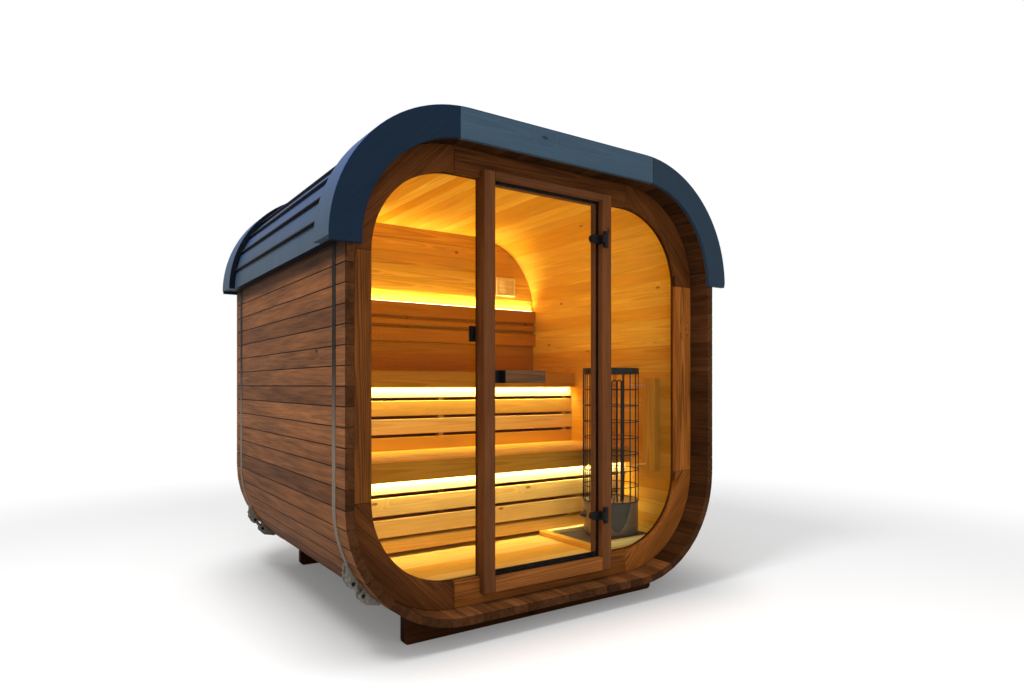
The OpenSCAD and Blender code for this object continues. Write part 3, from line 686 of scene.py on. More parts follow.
def finished(name, mesh, stands_for, note="", body="house"):
    """Gives a mesh its object and its body, shades it smooth between its sharp edges and hides the
    CAD nodes it stands for.
    """
    mesh.polygons.foreach_set("use_smooth", [True] * len(mesh.polygons))
    mesh.set_sharp_from_angle(angle=SMOOTH_BELOW)
    mesh.update()
    piece = placed(name, mesh)
    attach(piece, body)
    if stands_for:
        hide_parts(*stands_for)
    print(f"{name}: {len(mesh.polygons)} faces {note}")
    return piece


print("faces shade smooth where they meet at under", round(math.degrees(SMOOTH_BELOW)), "degrees")

# %% Rounding a CAD node
SAME_POINT, SAME_PLANE, SHARP = 2e-5, math.radians(0.4), 0.6
OUT_OF_HEART = (0.04, 0.12)


def islands(bm):
    """Lists of vertices, one for each separate shape in the mesh."""
    left, groups = set(bm.verts), []
    while left:
        wave = [left.pop()]
        group = list(wave)
        while wave:
            wave = [e.other_vert(v) for v in wave for e in v.link_edges]
            wave = [v for v in dict.fromkeys(wave) if v in left]
            left.difference_update(wave)
            group += wave
        groups.append(sorted(group, key=lambda v: v.index))
    return sorted(groups, key=lambda g: g[0].index)


def eased(node, slot, material, along="z", across="x", width=EDGE, segments=1, seed=1, tone=None,
          body="house"):
    """A copy of a CAD node with merged points, rounded edges and timber coordinates."""
    bm = bmesh.new()
    bm.from_mesh(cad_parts[node].data)
    bmesh.ops.remove_doubles(bm, verts=bm.verts, dist=SAME_POINT)
    bmesh.ops.dissolve_limit(bm, angle_limit=SAME_PLANE, verts=bm.verts, edges=bm.edges)
    if width:
        sharp = [e for e in bm.edges if len(e.link_faces) == 2 and e.calc_face_angle(0) > SHARP]
        bmesh.ops.bevel(bm, geom=sharp, offset=width, offset_type="OFFSET", segments=segments,
                        profile=0.5, affect="EDGES", clamp_overlap=True)
    bm.verts.index_update()
    draw = random.Random(seed)
    u, v = unit(along), unit(across)
    turn = np.stack([u, v, np.cross(u, v)], 1)
    grain, tones = np.zeros((len(bm.verts), 3)), np.zeros(len(bm.verts))
    for group in islands(bm):
        rows = [vert.index for vert in group]
        co = np.array([vert.co[:] for vert in group])
        shift = (draw.uniform(*ALONG), draw.uniform(*ASIDE), draw.uniform(*OUT_OF_HEART))
        grain[rows] = (co - (co.min(0) + co.max(0)) / 2) @ turn + shift
        tones[rows] = draw.random() if tone is None else tone
    bm.normal_update()
    ends = [float(abs(Vector(u) @ face.normal) > ACROSS) for face in bm.faces]
    mesh = bpy.data.meshes.new(node + "_piece")
    bm.to_mesh(mesh)
    bm.free()
    store(mesh, "grain", "FLOAT_VECTOR", "POINT", grain)
    store(mesh, "tone", "FLOAT", "POINT", tones)
    store(mesh, "end", "FLOAT", "FACE", ends)
    mesh.materials.clear()
    mesh.materials.append(material)
    mesh.polygons.foreach_set("material_index", [0] * len(mesh.polygons))
    return finished(mesh.name, mesh, [node], body=body)


print("edges that turn by more than", round(math.degrees(SHARP)), "degrees will be eased")

# %% [markdown]
# The shell is the one large piece that follows a rule: a run of equal staves on each flat and
# a fan of narrower, wedge-shaped ones round each corner.  Geometry Nodes lays them out.  Two
# sample staves are modelled once, and a node group sets out the counts, turns the run four
# times round the shell and draws each stave's lot.  The outside, the ends and the open
# recesses are stained; inside the room the same staves are left bare.  The eased edges of two
# neighbours meet in a narrow groove, which holds more stain and shows as a dark line.

# %% Sample staves
FLAT_STAVES, CORNER_STAVES = 13, 11
# neighbours overlap by a hair, so that no light shows through a joint
TONGUE = 0.0002
OUTER_ROUND, INNER_ROUND = 0.003, 0.0013
# painted shade in the open recesses, and the extra stain held in the groove of a joint
RECESS_SHADE, JOINT_SOAK = 1.1, 1.3
# what still counts as the room side, and as a station along the stave
SKIN, NEARLY = 0.004, 0.001
pitch = 2 * arc_x / FLAT_STAVES
wedge = 90 / CORNER_STAVES


def sample_stave(name, section):
    """One stave with its outer face up.  Its room side is marked inside, for the bare finish,
    and its ends and eased edges are marked end, for the darker stain; the faces in the open
    recesses are marked end too, for painted shade."""
    verts, faces = prism(section, front_y, back_y, OUTER_ROUND, stations=(ring_back, inner_back),
                         cuts=(INNER_ROUND, INNER_ROUND, OUTER_ROUND, OUTER_ROUND))
    mesh = mesh_of(name, verts.tolist(), faces)
    middle = (verts.min(0) + verts.max(0)) / 2
    local = (verts - middle)[:, [1, 0, 2]]
    store(mesh, "grain", "FLOAT_VECTOR", "POINT", local)
    inner = verts[:, 2].min() + SKIN
    indoors, soak = [], []
    for face in faces:
        spots = verts[list(face)]
        under = spots[:, 2].max() < inner
        room = spots[:, 1].min() > ring_back - NEARLY and spots[:, 1].max() < inner_back + NEARLY
        indoors.append(bool(room and under))
        wide, high = np.ptp(spots[:, 0]), np.ptp(spots[:, 2])
        sloping = wide < 2 * OUTER_ROUND and INNER_ROUND / 2 < high < 2 * OUTER_ROUND
        if sloping and not indoors[-1]:
            soak.append(JOINT_SOAK)
        else:
            soak.append(is_end(spots, unit("y")) or RECESS_SHADE * float(under and not room))
    store(mesh, "inside", "BOOLEAN", "FACE", indoors)
    store(mesh, "end", "FLOAT", "FACE", soak)
    return placed(name, mesh)


half = pitch / 2 + TONGUE / 2
flat_stave = sample_stave("flat_stave", rectangle(-half, -stave_t, half, 0))
lean = math.radians(wedge / 2) + TONGUE / 2 / radius
inner_r = (radius - stave_t) / math.cos(lean)
corner_stave = sample_stave("corner_stave", [
    (r * math.sin(a), r * math.cos(a))
    for r, a in ((inner_r, -lean), (inner_r, lean), (radius, lean), (radius, -lean))
])
print(f"staves {pitch * 1000:.1f} mm wide on the flats, {wedge:.1f} degrees each round a corner")


# %% Helpers for node groups
SOCKETS = {
    int: "NodeSocketInt",
    float: "NodeSocketFloat",
    bpy.types.Object: "NodeSocketObject",
    bpy.types.Material: "NodeSocketMaterial",
}


def geometry_tree(name, values):
    """An empty Geometry Nodes group with an input for each value."""
    tree = bpy.data.node_groups.new(name, "GeometryNodeTree")
    tree.interface.new_socket(name="Geometry", in_out="OUTPUT", socket_type="NodeSocketGeometry")
    tree.interface.new_socket(name="Geometry", in_out="INPUT", socket_type="NodeSocketGeometry")
    for label, value in values.items():
        kind = next(kind for known, kind in SOCKETS.items() if isinstance(value, known))
        tree.interface.new_socket(name=label, in_out="INPUT", socket_type=kind)
    return tree, Graph(tree)


def draw_lots(g, geometry):
    """Moves each separate shape's grain to its own place in a tree and gives it a tone."""
    island = g.node("GeometryNodeInputMeshIsland", output="Island Index")

    def lot(kind, low, high, seed):
        return g.node("FunctionNodeRandomValue", {"data_type": kind},
                      {"Min": low, "Max": high, "ID": island, "Seed": seed}, "Value")

    shift = lot("FLOAT_VECTOR", *zip(ALONG, ASIDE, FROM_HEART), g.given("Seed"))
    other_seed = g.node("FunctionNodeIntegerMath", {}, {0: g.given("Seed"), 1: 7})
    tone = lot("FLOAT", 0.0, 1.0, other_seed)
    grain = g.named("grain", "FLOAT_VECTOR") + shift
    for name, kind, value in (("grain", "FLOAT_VECTOR", grain), ("tone", "FLOAT", tone)):
        geometry = g.node("GeometryNodeStoreNamedAttribute", {"data_type": kind, "domain": "POINT"},
                          {"Geometry": geometry, "Name": name, "Value": value})
    return geometry


def real_shapes(g, geometry, finish):
    """Copies made into real shapes, each with its own lot, in one finish."""
    real = draw_lots(g, g.node("GeometryNodeRealizeInstances", {}, {"Geometry": geometry}))
    return g.node("GeometryNodeSetMaterial", {}, {"Geometry": real, "Material": g.given(finish)})


def spun(g, geometry, count, step, first=0.0):
    """Copies of a geometry at the origin, each turned about the depth axis by one more step."""
    points = g.node("GeometryNodeMeshLine", {}, {"Count": count, "Offset": (0, 0, 0)})
    turn = g.node("GeometryNodeInputIndex") * step + first
    return g.copies(points, geometry, Rotation=g.tilt(turn))


print("node groups can take", ", ".join(kind.__name__ for kind in SOCKETS))


# %% Running a node group
def run_tree(tree, values, note, marks=()):
    """Runs a node group on marks, which are (x, y, z, turn), and returns a plain mesh."""
    spots = mesh_of("marks", [mark[:3] for mark in marks], [])
    store(spots, "turn", "FLOAT", "POINT", [mark[3] for mark in marks])
    host = placed("host", spots)
    modifier = host.modifiers.new("nodes", "NODES")
    modifier.node_group = tree
    for item in tree.interface.items_tree:
        if item.in_out == "INPUT" and item.name in values:
            modifier[item.identifier] = values[item.name]
    graph = bpy.context.evaluated_depsgraph_get()
    mesh = bpy.data.meshes.new_from_object(host.evaluated_get(graph), preserve_all_data_layers=True,
                                           depsgraph=graph)
    host.modifiers.remove(modifier)
    bpy.data.objects.remove(host)
    print(note, len(mesh.polygons), "faces")
    return mesh


print("a group runs on an object that is removed again")

# %% Node group that sets out the staves
stave_values = {
    "Flat stave": flat_stave, "Corner stave": corner_stave, "Flat count": FLAT_STAVES,
    "Corner count": CORNER_STAVES, "Stave pitch": pitch, "Wedge angle": math.radians(wedge),
    "Half width": half_w, "Corner offset": arc_x, "Middle height": mid_z, "Seed": 11,
    "Stain": stained, "Bare wood": bare,
}
stave_tree, g = geometry_tree("Staves round the shell", stave_values)
gaps = g.node("FunctionNodeInputInt", {"integer": -1}) + g.given("Flat count")
span = g.given("Stave pitch") * gaps
row = g.node("GeometryNodeMeshLine", {}, {
    "Count": g.given("Flat count"),
    "Start Location": g.vector(X=span * -0.5, Z=g.given("Half width")),
    "Offset": g.vector(X=g.given("Stave pitch")),
})
flat_run = g.copies(row, g.geometry_of("Flat stave"))
fan = spun(g, g.geometry_of("Corner stave"), g.given("Corner count"), g.given("Wedge angle"),
           g.given("Wedge angle") * 0.5)
fan = g.moved(fan, X=g.given("Corner offset"), Z=g.given("Corner offset"))
quarter = g.node("GeometryNodeJoinGeometry", {}, {"Geometry": [flat_run, fan]})
whole = g.moved(spun(g, quarter, 4, math.pi / 2), Z=g.given("Middle height"))
coated = g.node("GeometryNodeSetMaterial", {}, {
    "Geometry": real_shapes(g, whole, "Stain"),
    "Selection": g.named("inside", "BOOLEAN"),
    "Material": g.given("Bare wood"),
})
g.node("NodeGroupOutput", {}, {"Geometry": coated})
print("group", stave_tree.name, "has", len(stave_tree.nodes), "nodes")

# %% Lay the staves
LEVEL, LIT_SILL_SHADE = 0.93, 0.3


def light_level_sills(mesh):
    """The recess faces that lie level face the light, so their painted shade is made weaker, as
    painted light.
    """
    normals, soak = np.zeros(3 * len(mesh.polygons)), np.zeros(len(mesh.polygons))
    mesh.polygons.foreach_get("normal", normals)
    mesh.attributes["end"].data.foreach_get("value", soak)
    level = (normals[2::3] > LEVEL) & (np.abs(soak - RECESS_SHADE) < 0.01)
    mesh.attributes["end"].data.foreach_set("value", np.where(level, LIT_SILL_SHADE, soak))
    # these level faces are now lighter, as painted light
    print(int(level.sum()), "level recess faces bleached")


stave_mesh = run_tree(stave_tree, stave_values, "staves")
for sample in (flat_stave, corner_stave):
    bpy.data.objects.remove(sample)
stave_mesh.name = "shell_staves"
light_level_sills(stave_mesh)
shell_nodes = ["wall_left", "wall_right", "shell_floor", "shell_ceiling"]
for level in ("top", "bottom"):
    shell_nodes += [f"shell_corner_{level}_{side}" for side in ("left", "right")]
finished("shell_staves", stave_mesh, shell_nodes)

# %% [markdown]
# The front wall is a ring of eight stained pieces: posts, rails and four corners sawn from
# wide boards, so a corner's grain runs straight across the curve.  Their shapes carry the
# glass rebate and come from the CAD model.  Merging the loose triangles and rounding the
# sharp edges turns them into timber, and the grain direction is chosen for each.

# %% Front wall and door frame
DIAGONAL_UP, DIAGONAL_DOWN = (1, 0, 1), (1, 0, -1)
ring_grain = {
    "front_rail_top": ("x", "z"),
    "front_rail_bottom": ("x", "z"),
    "front_stile_left": ("z", "x"),
    "front_stile_right": ("z", "x"),
    "front_corner_top_left": (DIAGONAL_UP, DIAGONAL_DOWN),
    "front_corner_bottom_right": (DIAGONAL_UP, DIAGONAL_DOWN),
    "front_corner_top_right": (DIAGONAL_DOWN, DIAGONAL_UP),
    "front_corner_bottom_left": (DIAGONAL_DOWN, DIAGONAL_UP),
}
# painted light: the pieces that catch more light get a paler tone, and the others keep the full tone
lit_ring_tones = {"front_stile_right": 0.0, "front_corner_bottom_right": 0.35,
                "front_rail_bottom": 0.55, "front_stile_left": 0.75}
for number, (node, grain) in enumerate(ring_grain.items()):
    eased(node, "front_frame_wood", frame_wood, *grain, 0.0025, seed=31 + number,
          tone=lit_ring_tones.get(node, 1.0))
# painted light: the sill is palest, as lit from the bright floor below
door_tones = {"door_jamb_left": 0.9, "door_jamb_right": 0.8, "door_head": 1.0, "door_sill": 0.0}
for number, (node, tone) in enumerate(door_tones.items()):
    grain = ("z", "x") if "jamb" in node else ("x", "z")
    eased(node, "door_frame_wood", door_wood, *grain, seed=51 + number, tone=tone)
# the beads take the stained wood of the ring, not the bare inner wood, as painted shade in the glass
# rebate
eased("glass_beads", "inner_wood", frame_wood, "z", "x", 0.001, seed=57, tone=1.0)

# %% Glass
def dressed(node, material):
    """Shows a CAD node as it is, in a finish."""
    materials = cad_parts[node].data.materials
    materials.clear()
    materials.append(material)


for node in ("glass_left", "glass_right", "door_glass"):
    dressed(node, glass)

# %% [markdown]
# The door is a sheet of glass in two clamp hinges with a wooden grip.  Behind its edge a wide
# black rubber seal covers the stop, which draws the dark line round a closed glass door.

# %% Door fittings and seal
eased("door_handle", "handle_wood", grip_wood, "x", "z", 0.004, 2, seed=61, body="door")
eased("door_fittings", "black_fittings", black, segments=2, body="door")
eased("hinge_plates", "black_fittings", black, width=0.0015, segments=2)
glass_low, glass_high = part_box("door_glass")
seal = Boards(62)
SEAL_LAP, SILL_LAP, SEAL_OUT = 0.012, 0.026, 0.0058
SEAL_NEAR, SEAL_FAR = 0.0008, 0.005
seal_y0, seal_y1 = glass_high.y + SEAL_NEAR, glass_high.y + SEAL_FAR
left, right = glass_low.x + SEAL_LAP, glass_high.x - SEAL_LAP
low, high = glass_low.z + SILL_LAP, glass_high.z - SEAL_LAP
band, foot = SEAL_LAP + SEAL_OUT, SILL_LAP + SEAL_OUT
for x0, z0, x1, z1 in (
    (left - band, low - foot, left, high + band),
    (right, low - foot, right + band, high + band),
    (left, low - foot, right, low),
    (left, high, right, high + band),
):
    seal.block((x0, seal_y0, z0), (x1, seal_y1, z1), "z", "x", 0.001)
seal.make("door_seal", [rubber], [])

# %% [markdown]
# Flat boards make the rest of the room: level boards in the back wall, floor boards from side
# to side, and benches of spaced boards on battens behind an apron board.  Where a board meets
# the shell its ends follow the curve.  The outside of the back wall is stained like the shell.

# %% Back wall
wall_inset = stave_t + FIT
LIT_TONE, LIT_BAND, MIDDLE, SHADE_TONE = 0.1, 0.17, (0.45, 0.65), 0.9
wall = Boards(71)
courses = 24
low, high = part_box("back_wall")[0].z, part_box("back_wall")[1].z
rise = (high - low) / courses


def room_side(points):
    """The material of a face: 0 for bare wood in the room, 1 for stain outside."""
    return 0 if points[:, 1].max() < inner_back + 0.01 else 1


def outer_joint(points):
    """More stain on the eased edges of the outer face."""
    return JOINT_SOAK * float(points[:, 1].max() > outer_back - 1e-4 and np.ptp(points[:, 1]) > 1e-3)


for i in range(courses):
    z = low + i * rise
    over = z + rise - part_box("backrest")[1].z
    # painted light and shade: pale just over the backrest, where the light strip shines, and deep
    # below it, in its shade
    tone = LIT_TONE if 0 < over < LIT_BAND else wall.draw.uniform(*MIDDLE) if over > 0 else SHADE_TONE
    shape = prism(course(z, z + rise, wall_inset), inner_back, outer_back)
    tone = np.where(shape[0][:, 1] > inner_back + 0.01, wall.draw.random(), tone)
    wall.add(shape, "x", "z", tone, room_side, outer_joint)
wall.make("back_wall_boards", [amber, stained], ["back_wall"])

# %% Floor boards
floor_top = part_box("floor_deck")[1].z
FLOOR_T, JOIST_W, JOIST_XS = 0.027, 0.045, (-0.525, 0, 0.525)
deck = Boards(72)
rows = 18
deep = (inner_back - ring_back) / rows
for i in range(rows):
    y = ring_back + i * deep
    shape = prism(course(floor_top - FLOOR_T, floor_top, wall_inset), y, y + deep, 0.0015)
    deck.add(shape, "x", "y", tone=deck.draw.uniform(0.6, 1.0))
deck.bars(JOIST_XS, JOIST_W, (ring_back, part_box("floor_deck")[0].z),
          (inner_back, floor_top - FLOOR_T), "y", "z")
deck.make("floor_boards", [planed], ["floor_deck"])

# %% Benches and aprons
bench_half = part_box("upper_bench")[1].x
BENCH_T, BENCH_GAP, BATTEN_W = 0.028, 0.012, 0.045
POST_W, POST_IN = 0.040, 0.060
post_xs = (-(bench_half - POST_IN), 0, bench_half - POST_IN)


def bench(node, count, seed):
    """Spaced boards from side to side on three battens."""
    low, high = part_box(node)
    made = Boards(seed)
    width = (high.y - low.y + BENCH_GAP) / count - BENCH_GAP
    for i in range(count):
        y = low.y + i * (width + BENCH_GAP)
        made.block((low.x, y, high.z - BENCH_T), (high.x, y + width, high.z), "x", "y", 0.003,
                   tone=made.draw.uniform(0.5, 0.9))
    made.bars(post_xs, BATTEN_W, (low.y, low.z), (high.y, high.z - BENCH_T), "y", "z")
    made.make(node + "_boards", [planed], [node])


bench("upper_bench", 5, 73)
bench("lower_bench", 6, 74)

low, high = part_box("bench_aprons")
APRON_T, APRON_H = 0.020, 0.106
bench_tops = (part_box("lower_bench")[1].z, high.z)
aprons = Boards(75)
for y, z in zip((low.y, high.y - APRON_T), bench_tops):
    aprons.block((low.x, y, z - APRON_H), (high.x, y + APRON_T, z), "x", "z", 0.003, tone=0.7)
aprons.make("apron_boards", [amber], ["bench_aprons"])

# %% Slatted fronts
SLAT_T, SLAT_H, SLAT_GAP = 0.020, 0.099, 0.020
BELOW_BENCH, ABOVE_FLOOR = 0.075, 0.026
low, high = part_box("bench_risers")


def stands_on(x):
    """The height of the floor, or of the shell's inner curve where that is higher."""
    r, out = radius - wall_inset, max(abs(x) - arc_x, 0.0)
    return max(floor_top, arc_low - math.sqrt(r * r - out * out))


risers = Boards(76)
# the top slat of each front gets the lit tone, as painted light from the strip under the bench
for y, bottom, top in (
    (low.y, floor_top + ABOVE_FLOOR, bench_tops[0] - BELOW_BENCH),
    (high.y - POST_W - SLAT_T, bench_tops[0], high.z),
):
    z = top
    while z > bottom + 0.001:
        slat = prism(course(max(bottom, z - SLAT_H), z, wall_inset), y, y + SLAT_T, 0.0025)
        risers.add(slat, "x", "z", tone=LIT_TONE if z == top else risers.draw.uniform(0.6, 1))
        z -= SLAT_H + SLAT_GAP
    for x in post_xs:
        foot = [(x + POST_W * i / 8, stands_on(x + POST_W * i / 8)) for i in range(-4, 5)]
        shape = foot + [(x + POST_W / 2, top), (x - POST_W / 2, top)]
        risers.add(prism(shape, y + SLAT_T, y + SLAT_T + POST_W, 0.001), "z", "x")
risers.make("riser_slats", [planed], ["bench_risers"])

# %% Backrest
REST_HEIGHTS, REST_GAP = (0.099, 0.041, 0.099), 0.024
low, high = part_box("backrest")
rest = Boards(77)
z = low.z
for height in REST_HEIGHTS:
    rest.block((low.x, low.y, z), (high.x, low.y + SLAT_T, z + height), "x", "z", 0.003, tone=0.95)
    z += height + REST_GAP
rest.bars(post_xs, POST_W, (low.y + SLAT_T, low.z), (high.y, high.z), "z", "x", tone=1.0)
rest.make("backrest_boards", [amber], ["backrest"])

# %% Hearth, vent and wall board
low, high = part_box("hearth_frame")
EDGING = 0.050
hearth = Boards(78)
hearth.block((low.x, low.y, low.z), (low.x + EDGING, high.y, high.z), "y", "x")


def to_curve(x, z0, z1):
    """The outline of a bar that ends on the shell's inner curve."""
    return [(x, z0), (inside_x(z0, wall_inset), z0), (inside_x(z1, wall_inset), z1), (x, z1)]


for y in (low.y, high.y - EDGING):
    hearth.add(prism(to_curve(low.x + EDGING, low.z, high.z), y, y + EDGING), "x", "y")
hearth.make("hearth_edging", [planed], ["hearth_frame"])
eased("hearth_plate", "hearth_slate", slate, width=0.0015)
eased("vent", "bench_wood", planed, "x", "z", seed=81)
eased("heater_board", "bench_wood", amber, "z", "y", 0.003, seed=82, tone=0.5)
eased("switch_box", "black_fittings", black, width=0.004, segments=2)

# %% [markdown]
# The heater is a steel drum with a tall cage of black wire round bent heating rods.  The wire
# and rods keep their CAD shapes, merged so that round parts shade smoothly, and the light
# comes from thin strips behind the aprons and over the backrest.

# %% Heater and light strips
eased("heater_base", "heater_steel", brushed, width=0.003, segments=3)
eased("heater_panel", "heater_black", heater_dark, width=0.001)
cage = eased("heater_cage", "cage_wire", wire, width=0)
# the brackets that reach past the drum to the wall are bare steel
cage.data.materials.append(rod_steel)
BESIDE = 0.012
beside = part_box("heater_base")[1].x + BESIDE
for face in cage.data.polygons:
    if face.center.x > beside:
        face.material_index = 1
eased("heater_elements", "element_steel", element, width=0)
dressed("led_strips", lamp_cover)

# %% Lamps that glow behind the boards
WARM, AMBER = (1.0, 0.90, 0.70), (1.0, 0.90, 0.40)
BEAM, STRIP_IN, STRIP_W = 110, 0.03, 0.012
strip_long = 2 * (bench_half - STRIP_IN)
for name, y, z, turn, watts in (
    ("under_lower_bench", -0.302, 0.703, 0, 6),
    ("under_upper_bench", 0.297, 1.220, 0, 8),
    ("over_backrest", 0.805, 1.846, math.pi, 8),
):
    lamp = area_lamp(name, (0, y, z), (0, y, 0), (strip_long, STRIP_W), watts, WARM, BEAM)
    # square to the boards, and facing down or up
    lamp.rotation_euler = (turn, 0, 0)
# and a broad glow on the ceiling, as from lit boards
area_lamp("ceiling_glow", (0, 0.0, 1.40), (0, 0.001, 2.4), (1.8, 1.2), 9, AMBER)
print("glow from", round(strip_long, 3), "m strips")

# %% [markdown]
# Two curved fascias finish the ends.  Each is three painted boards with hairline joints, and
# the straight one took the paint paler than the two sawn curves.
# Between them lies the roof: coated sheet on battens, with standing seams from end to end.
# The seams are ribs that repeat, so Geometry Nodes copies one rib to marks along the roof's
# outline.  Folded flashings cover the joint between roof and fascia.

# %% Fascia boards
FASCIA_IN, FASCIA_LAP, HAIRLINE = 0.065, 0.057, 0.0005


def fascia(node, seed):
    """Two curved boards with short tails and one board between them that laps on to the curves."""
    low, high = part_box(node)
    outer, inner = high.x - arc_x, radius - FASCIA_IN
    made = Boards(seed)

    def turn_at(r, out):
        """The angle at which an arc is this far out from its centre."""
        return math.degrees(math.acos(out / r))

    def side(r):
        """The tail and the arc up to the lap."""
        return [(arc_x + r, low.z), *arc(1, 1, r, 0, turn_at(r, FASCIA_LAP + HAIRLINE), 28)]

    def over(r):
        """The arc from the lap to the flat."""
        return arc(1, 1, r, turn_at(r, FASCIA_LAP - HAIRLINE), 90, 28)[:-1] + [(arc_x, arc_top + r)]

    curve = side(outer) + side(inner)[::-1]
    made.add(prism(curve, low.y, high.y), DIAGONAL_DOWN, DIAGONAL_UP, tone=0.7)
    made.add(prism(mirrored(curve), low.y, high.y), DIAGONAL_UP, DIAGONAL_DOWN, tone=1.0)
    right = over(inner)[::-1] + over(outer)
    made.add(prism(right + mirrored(right), low.y, high.y), "x", "z", tone=0.0)
    made.make(node + "_boards", [fascia_paint], [node])


fascia("fascia_front", 91)
fascia("fascia_back", 92)

# %% Roof sheet
roof_low, roof_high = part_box("roof_cover")
SEAM_H, SEAM_T, ROOF_GAP = 0.015, 0.008, 0.0026
eave_z = roof_low.z
roof_r = radius + roof_high.z - SEAM_H - shell_top
under_r = radius + ROOF_GAP


def over_roof(r, steps=28):
    """Points over the roof from the right eave to the left at one radius."""
    start = math.degrees(math.asin((eave_z - arc_top) / r))
    return arc(1, 1, r, start, 90, steps) + arc(-1, 1, r, 90, 180 - start, steps)


def roof_band(outer, inner, y0, y1, edge):
    return prism(over_roof(outer) + over_roof(inner)[::-1], y0, y1, edge)


roof = Boards(93)


def shaded_eave_edge(points):
    """1 on the cut edge along each eave, which faces down and takes the darker metal as painted
    shade.
    """
    return 1 if points[:, 2].max() < eave_z + 0.002 else 0


roof.add(roof_band(roof_r, under_r, front_y, back_y, 0.0008), "y", "x", mark=shaded_eave_edge)
roof.make("roof_sheet", [roof_sheet, seam_sheet], ["roof_cover"])

# %% Verge flashings
FOLD_T, FOLD_EDGE = 0.003, 0.0006


def flashing(node, end):
    """A band over the end of the roof, a leg folded down from it and a cap at each eave."""
    low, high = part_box(node)
    outer, leg_r = high.x - arc_x, roof_r + FIT
    far = high.y if end > 0 else low.y
    behind = far - end * FOLD_T
    verge = Boards(94)
    verge.add(roof_band(outer, outer - FOLD_T, low.y, high.y, FOLD_EDGE), "y", "x")
    verge.add(roof_band(outer - FOLD_T, leg_r, *sorted((far, behind)), FOLD_EDGE), "y", "x", mark=1)
    closed = sorted((end * (front_y + FIT), behind))
    for side in (-1, 1):
        cap = [(side * (arc_x + math.sqrt(r * r - (z - arc_top) ** 2)), z)
               for r, z in ((leg_r, eave_z), (outer - FOLD_T, eave_z),
                            (outer - FOLD_T, eave_z + FOLD_T), (leg_r, eave_z + FOLD_T))]
        verge.add(prism(cap, *closed, 0), "y", "x")
    verge.make(node + "_fold", [roof_sheet, seam_sheet], [node])


flashing("verge_flashing_front", 1)
flashing("verge_flashing_back", -1)

# %% One rib
seam_y0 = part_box("verge_flashing_front")[1].y
seam_y1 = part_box("verge_flashing_back")[0].y
SLANT, SEAM_FOOT, FOOT_T, SEAM_ROUND = 0.012, 0.012, 0.0012, 0.0015
half_rib = [(SEAM_FOOT, 0), (SEAM_FOOT, FOOT_T), (SEAM_T / 2, 0.0016),
            (SEAM_T / 2, SEAM_H - SEAM_ROUND), (SEAM_T / 2 - SEAM_ROUND, SEAM_H)]
verts, faces = prism(half_rib + mirrored(half_rib), seam_y0, seam_y1, 0)
lean_in = verts[:, 2] / SEAM_H * SLANT
verts[:, 1] += np.where(verts[:, 1] < 0, lean_in, -lean_in)
rib = placed("rib", mesh_of("rib", verts.tolist(), faces))
rib.data.attributes.new("grain", "FLOAT_VECTOR", "POINT")
print("rib", round(seam_y1 - seam_y0, 3), "m long")

# %% Standing seams
seam_values = {"Rib": rib, "Seed": 5, "Finish": seam_sheet}
seam_tree, g = geometry_tree("Ribs at marks", seam_values)
ribs = g.copies(g.given("Geometry"), g.geometry_of("Rib"), Rotation=g.tilt(g.named("turn", "FLOAT")))
g.node("NodeGroupOutput", {}, {"Geometry": real_shapes(g, ribs, "Finish")})

SEAM_PITCH, FLAT_SEAMS, LAST_TURN = 0.120, 9, math.radians(86)
step = SEAM_PITCH / roof_r
flat_xs = [(i - FLAT_SEAMS // 2) * SEAM_PITCH for i in range(FLAT_SEAMS)]
marks = [(x, 0, roof_high.z - SEAM_H, 0.0) for x in flat_xs]
angle = step
while angle <= LAST_TURN:
    for side in (-1, 1):
        x = side * (arc_x + roof_r * math.cos(angle))
        marks.append((x, 0, arc_top + roof_r * math.sin(angle), side * (math.pi / 2 - angle)))
    angle += step
seam_mesh = run_tree(seam_tree, seam_values, "seams", marks)
seam_mesh.name = "roof_seams"
bpy.data.objects.remove(rib)
finished("roof_seams", seam_mesh, [])

# %% [markdown]
# Two flat steel straps run right round the shell and are pulled tight by clamps on the lower
# left curve, whose dark pin ends are added here as black discs, which also paint the shade in
# the pin holes.  Two cross beams carry the house, cut to seat against its underside.

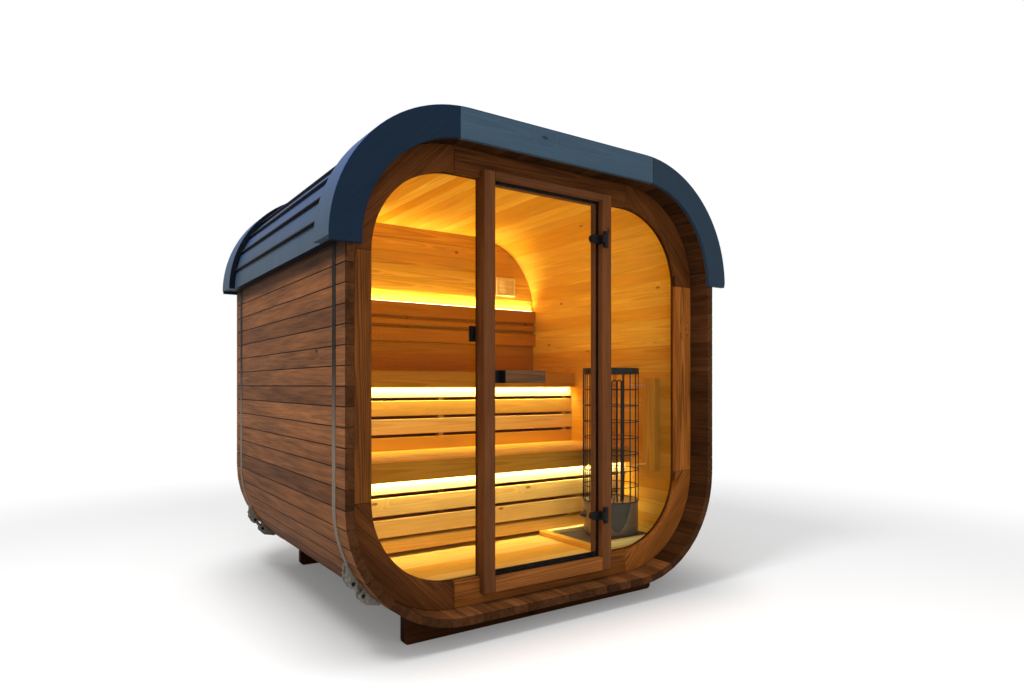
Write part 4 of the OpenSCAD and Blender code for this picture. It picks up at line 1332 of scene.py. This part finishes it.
# %% Straps
def round_shell(inset, steps=22):
    """The whole rounded square, anticlockwise, drawn in by inset."""
    r = radius - inset
    return (arc(1, 1, r, 0, 90, steps) + arc(-1, 1, r, 90, 180, steps)
            + arc(-1, -1, r, 180, 270, steps) + arc(1, -1, r, 270, 360, steps))


def hoop(outer_inset, inner_inset, y0, y1):
    """A closed band round the shell."""
    section = ((outer_inset, y0), (outer_inset, y1), (inner_inset, y1), (inner_inset, y0))
    verts = np.array([(x, y, z) for inset, y in section for x, z in round_shell(inset)])
    n = len(verts) // 4
    faces = []
    for k in range(4):
        a, b = k * n, (k + 1) % 4 * n
        for i in range(n):
            j = (i + 1) % n
            faces.append((a + i, b + i, b + j, a + j))
    return verts, faces


low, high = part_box("straps")
STRAP_W = 0.040
strap = Boards(95)
for y in (low.y, high.y - STRAP_W):
    strap.add(hoop(-(high.x - half_w), -FIT, y, y + STRAP_W), "y", "x")
strap.make("steel_straps", [strap_steel], ["straps"])

# %% Clamps and beams
eased("strap_clamps", "clamp_steel", zinc, segments=2)
CLAMP_TURN, PIN_OUT, PIN_UP, PIN_R = math.radians(37.3), 0.038, 0.021, 0.0095
PIN_PROUD, PIN_EDGE, PIN_SIDES = 0.001, 0.0003, 20
# a clamp sits square on the curve, and a black disc on both cheeks at each of its ends is the dark
# pin end and painted shade in its hole
seat = radius + high.x - half_w
pin_discs_and_hole_shade = Boards(96)
turns = [math.tau * i / PIN_SIDES for i in range(PIN_SIDES)]
for y in (low.y, high.y - STRAP_W):
    for side in (-1, 1):
        along, out = side * PIN_OUT, seat + PIN_UP
        x = -arc_x - math.cos(CLAMP_TURN) * out + math.sin(CLAMP_TURN) * along
        z = arc_low - math.sin(CLAMP_TURN) * out - math.cos(CLAMP_TURN) * along
        disc = [(x + PIN_R * math.cos(a), z + PIN_R * math.sin(a)) for a in turns]
        for cheek in (y, y + STRAP_W):
            pin_discs_and_hole_shade.add(prism(disc, cheek - PIN_PROUD, cheek + PIN_PROUD, PIN_EDGE), "y", "x")
pin_discs_and_hole_shade.make("clamp_pins", [black], [])
for seed, node in enumerate(("beam_front", "beam_back")):
    eased(node, "beam_wood", beam_wood, "x", "z", 0.003, 2, seed=101 + seed)

# %% [markdown]
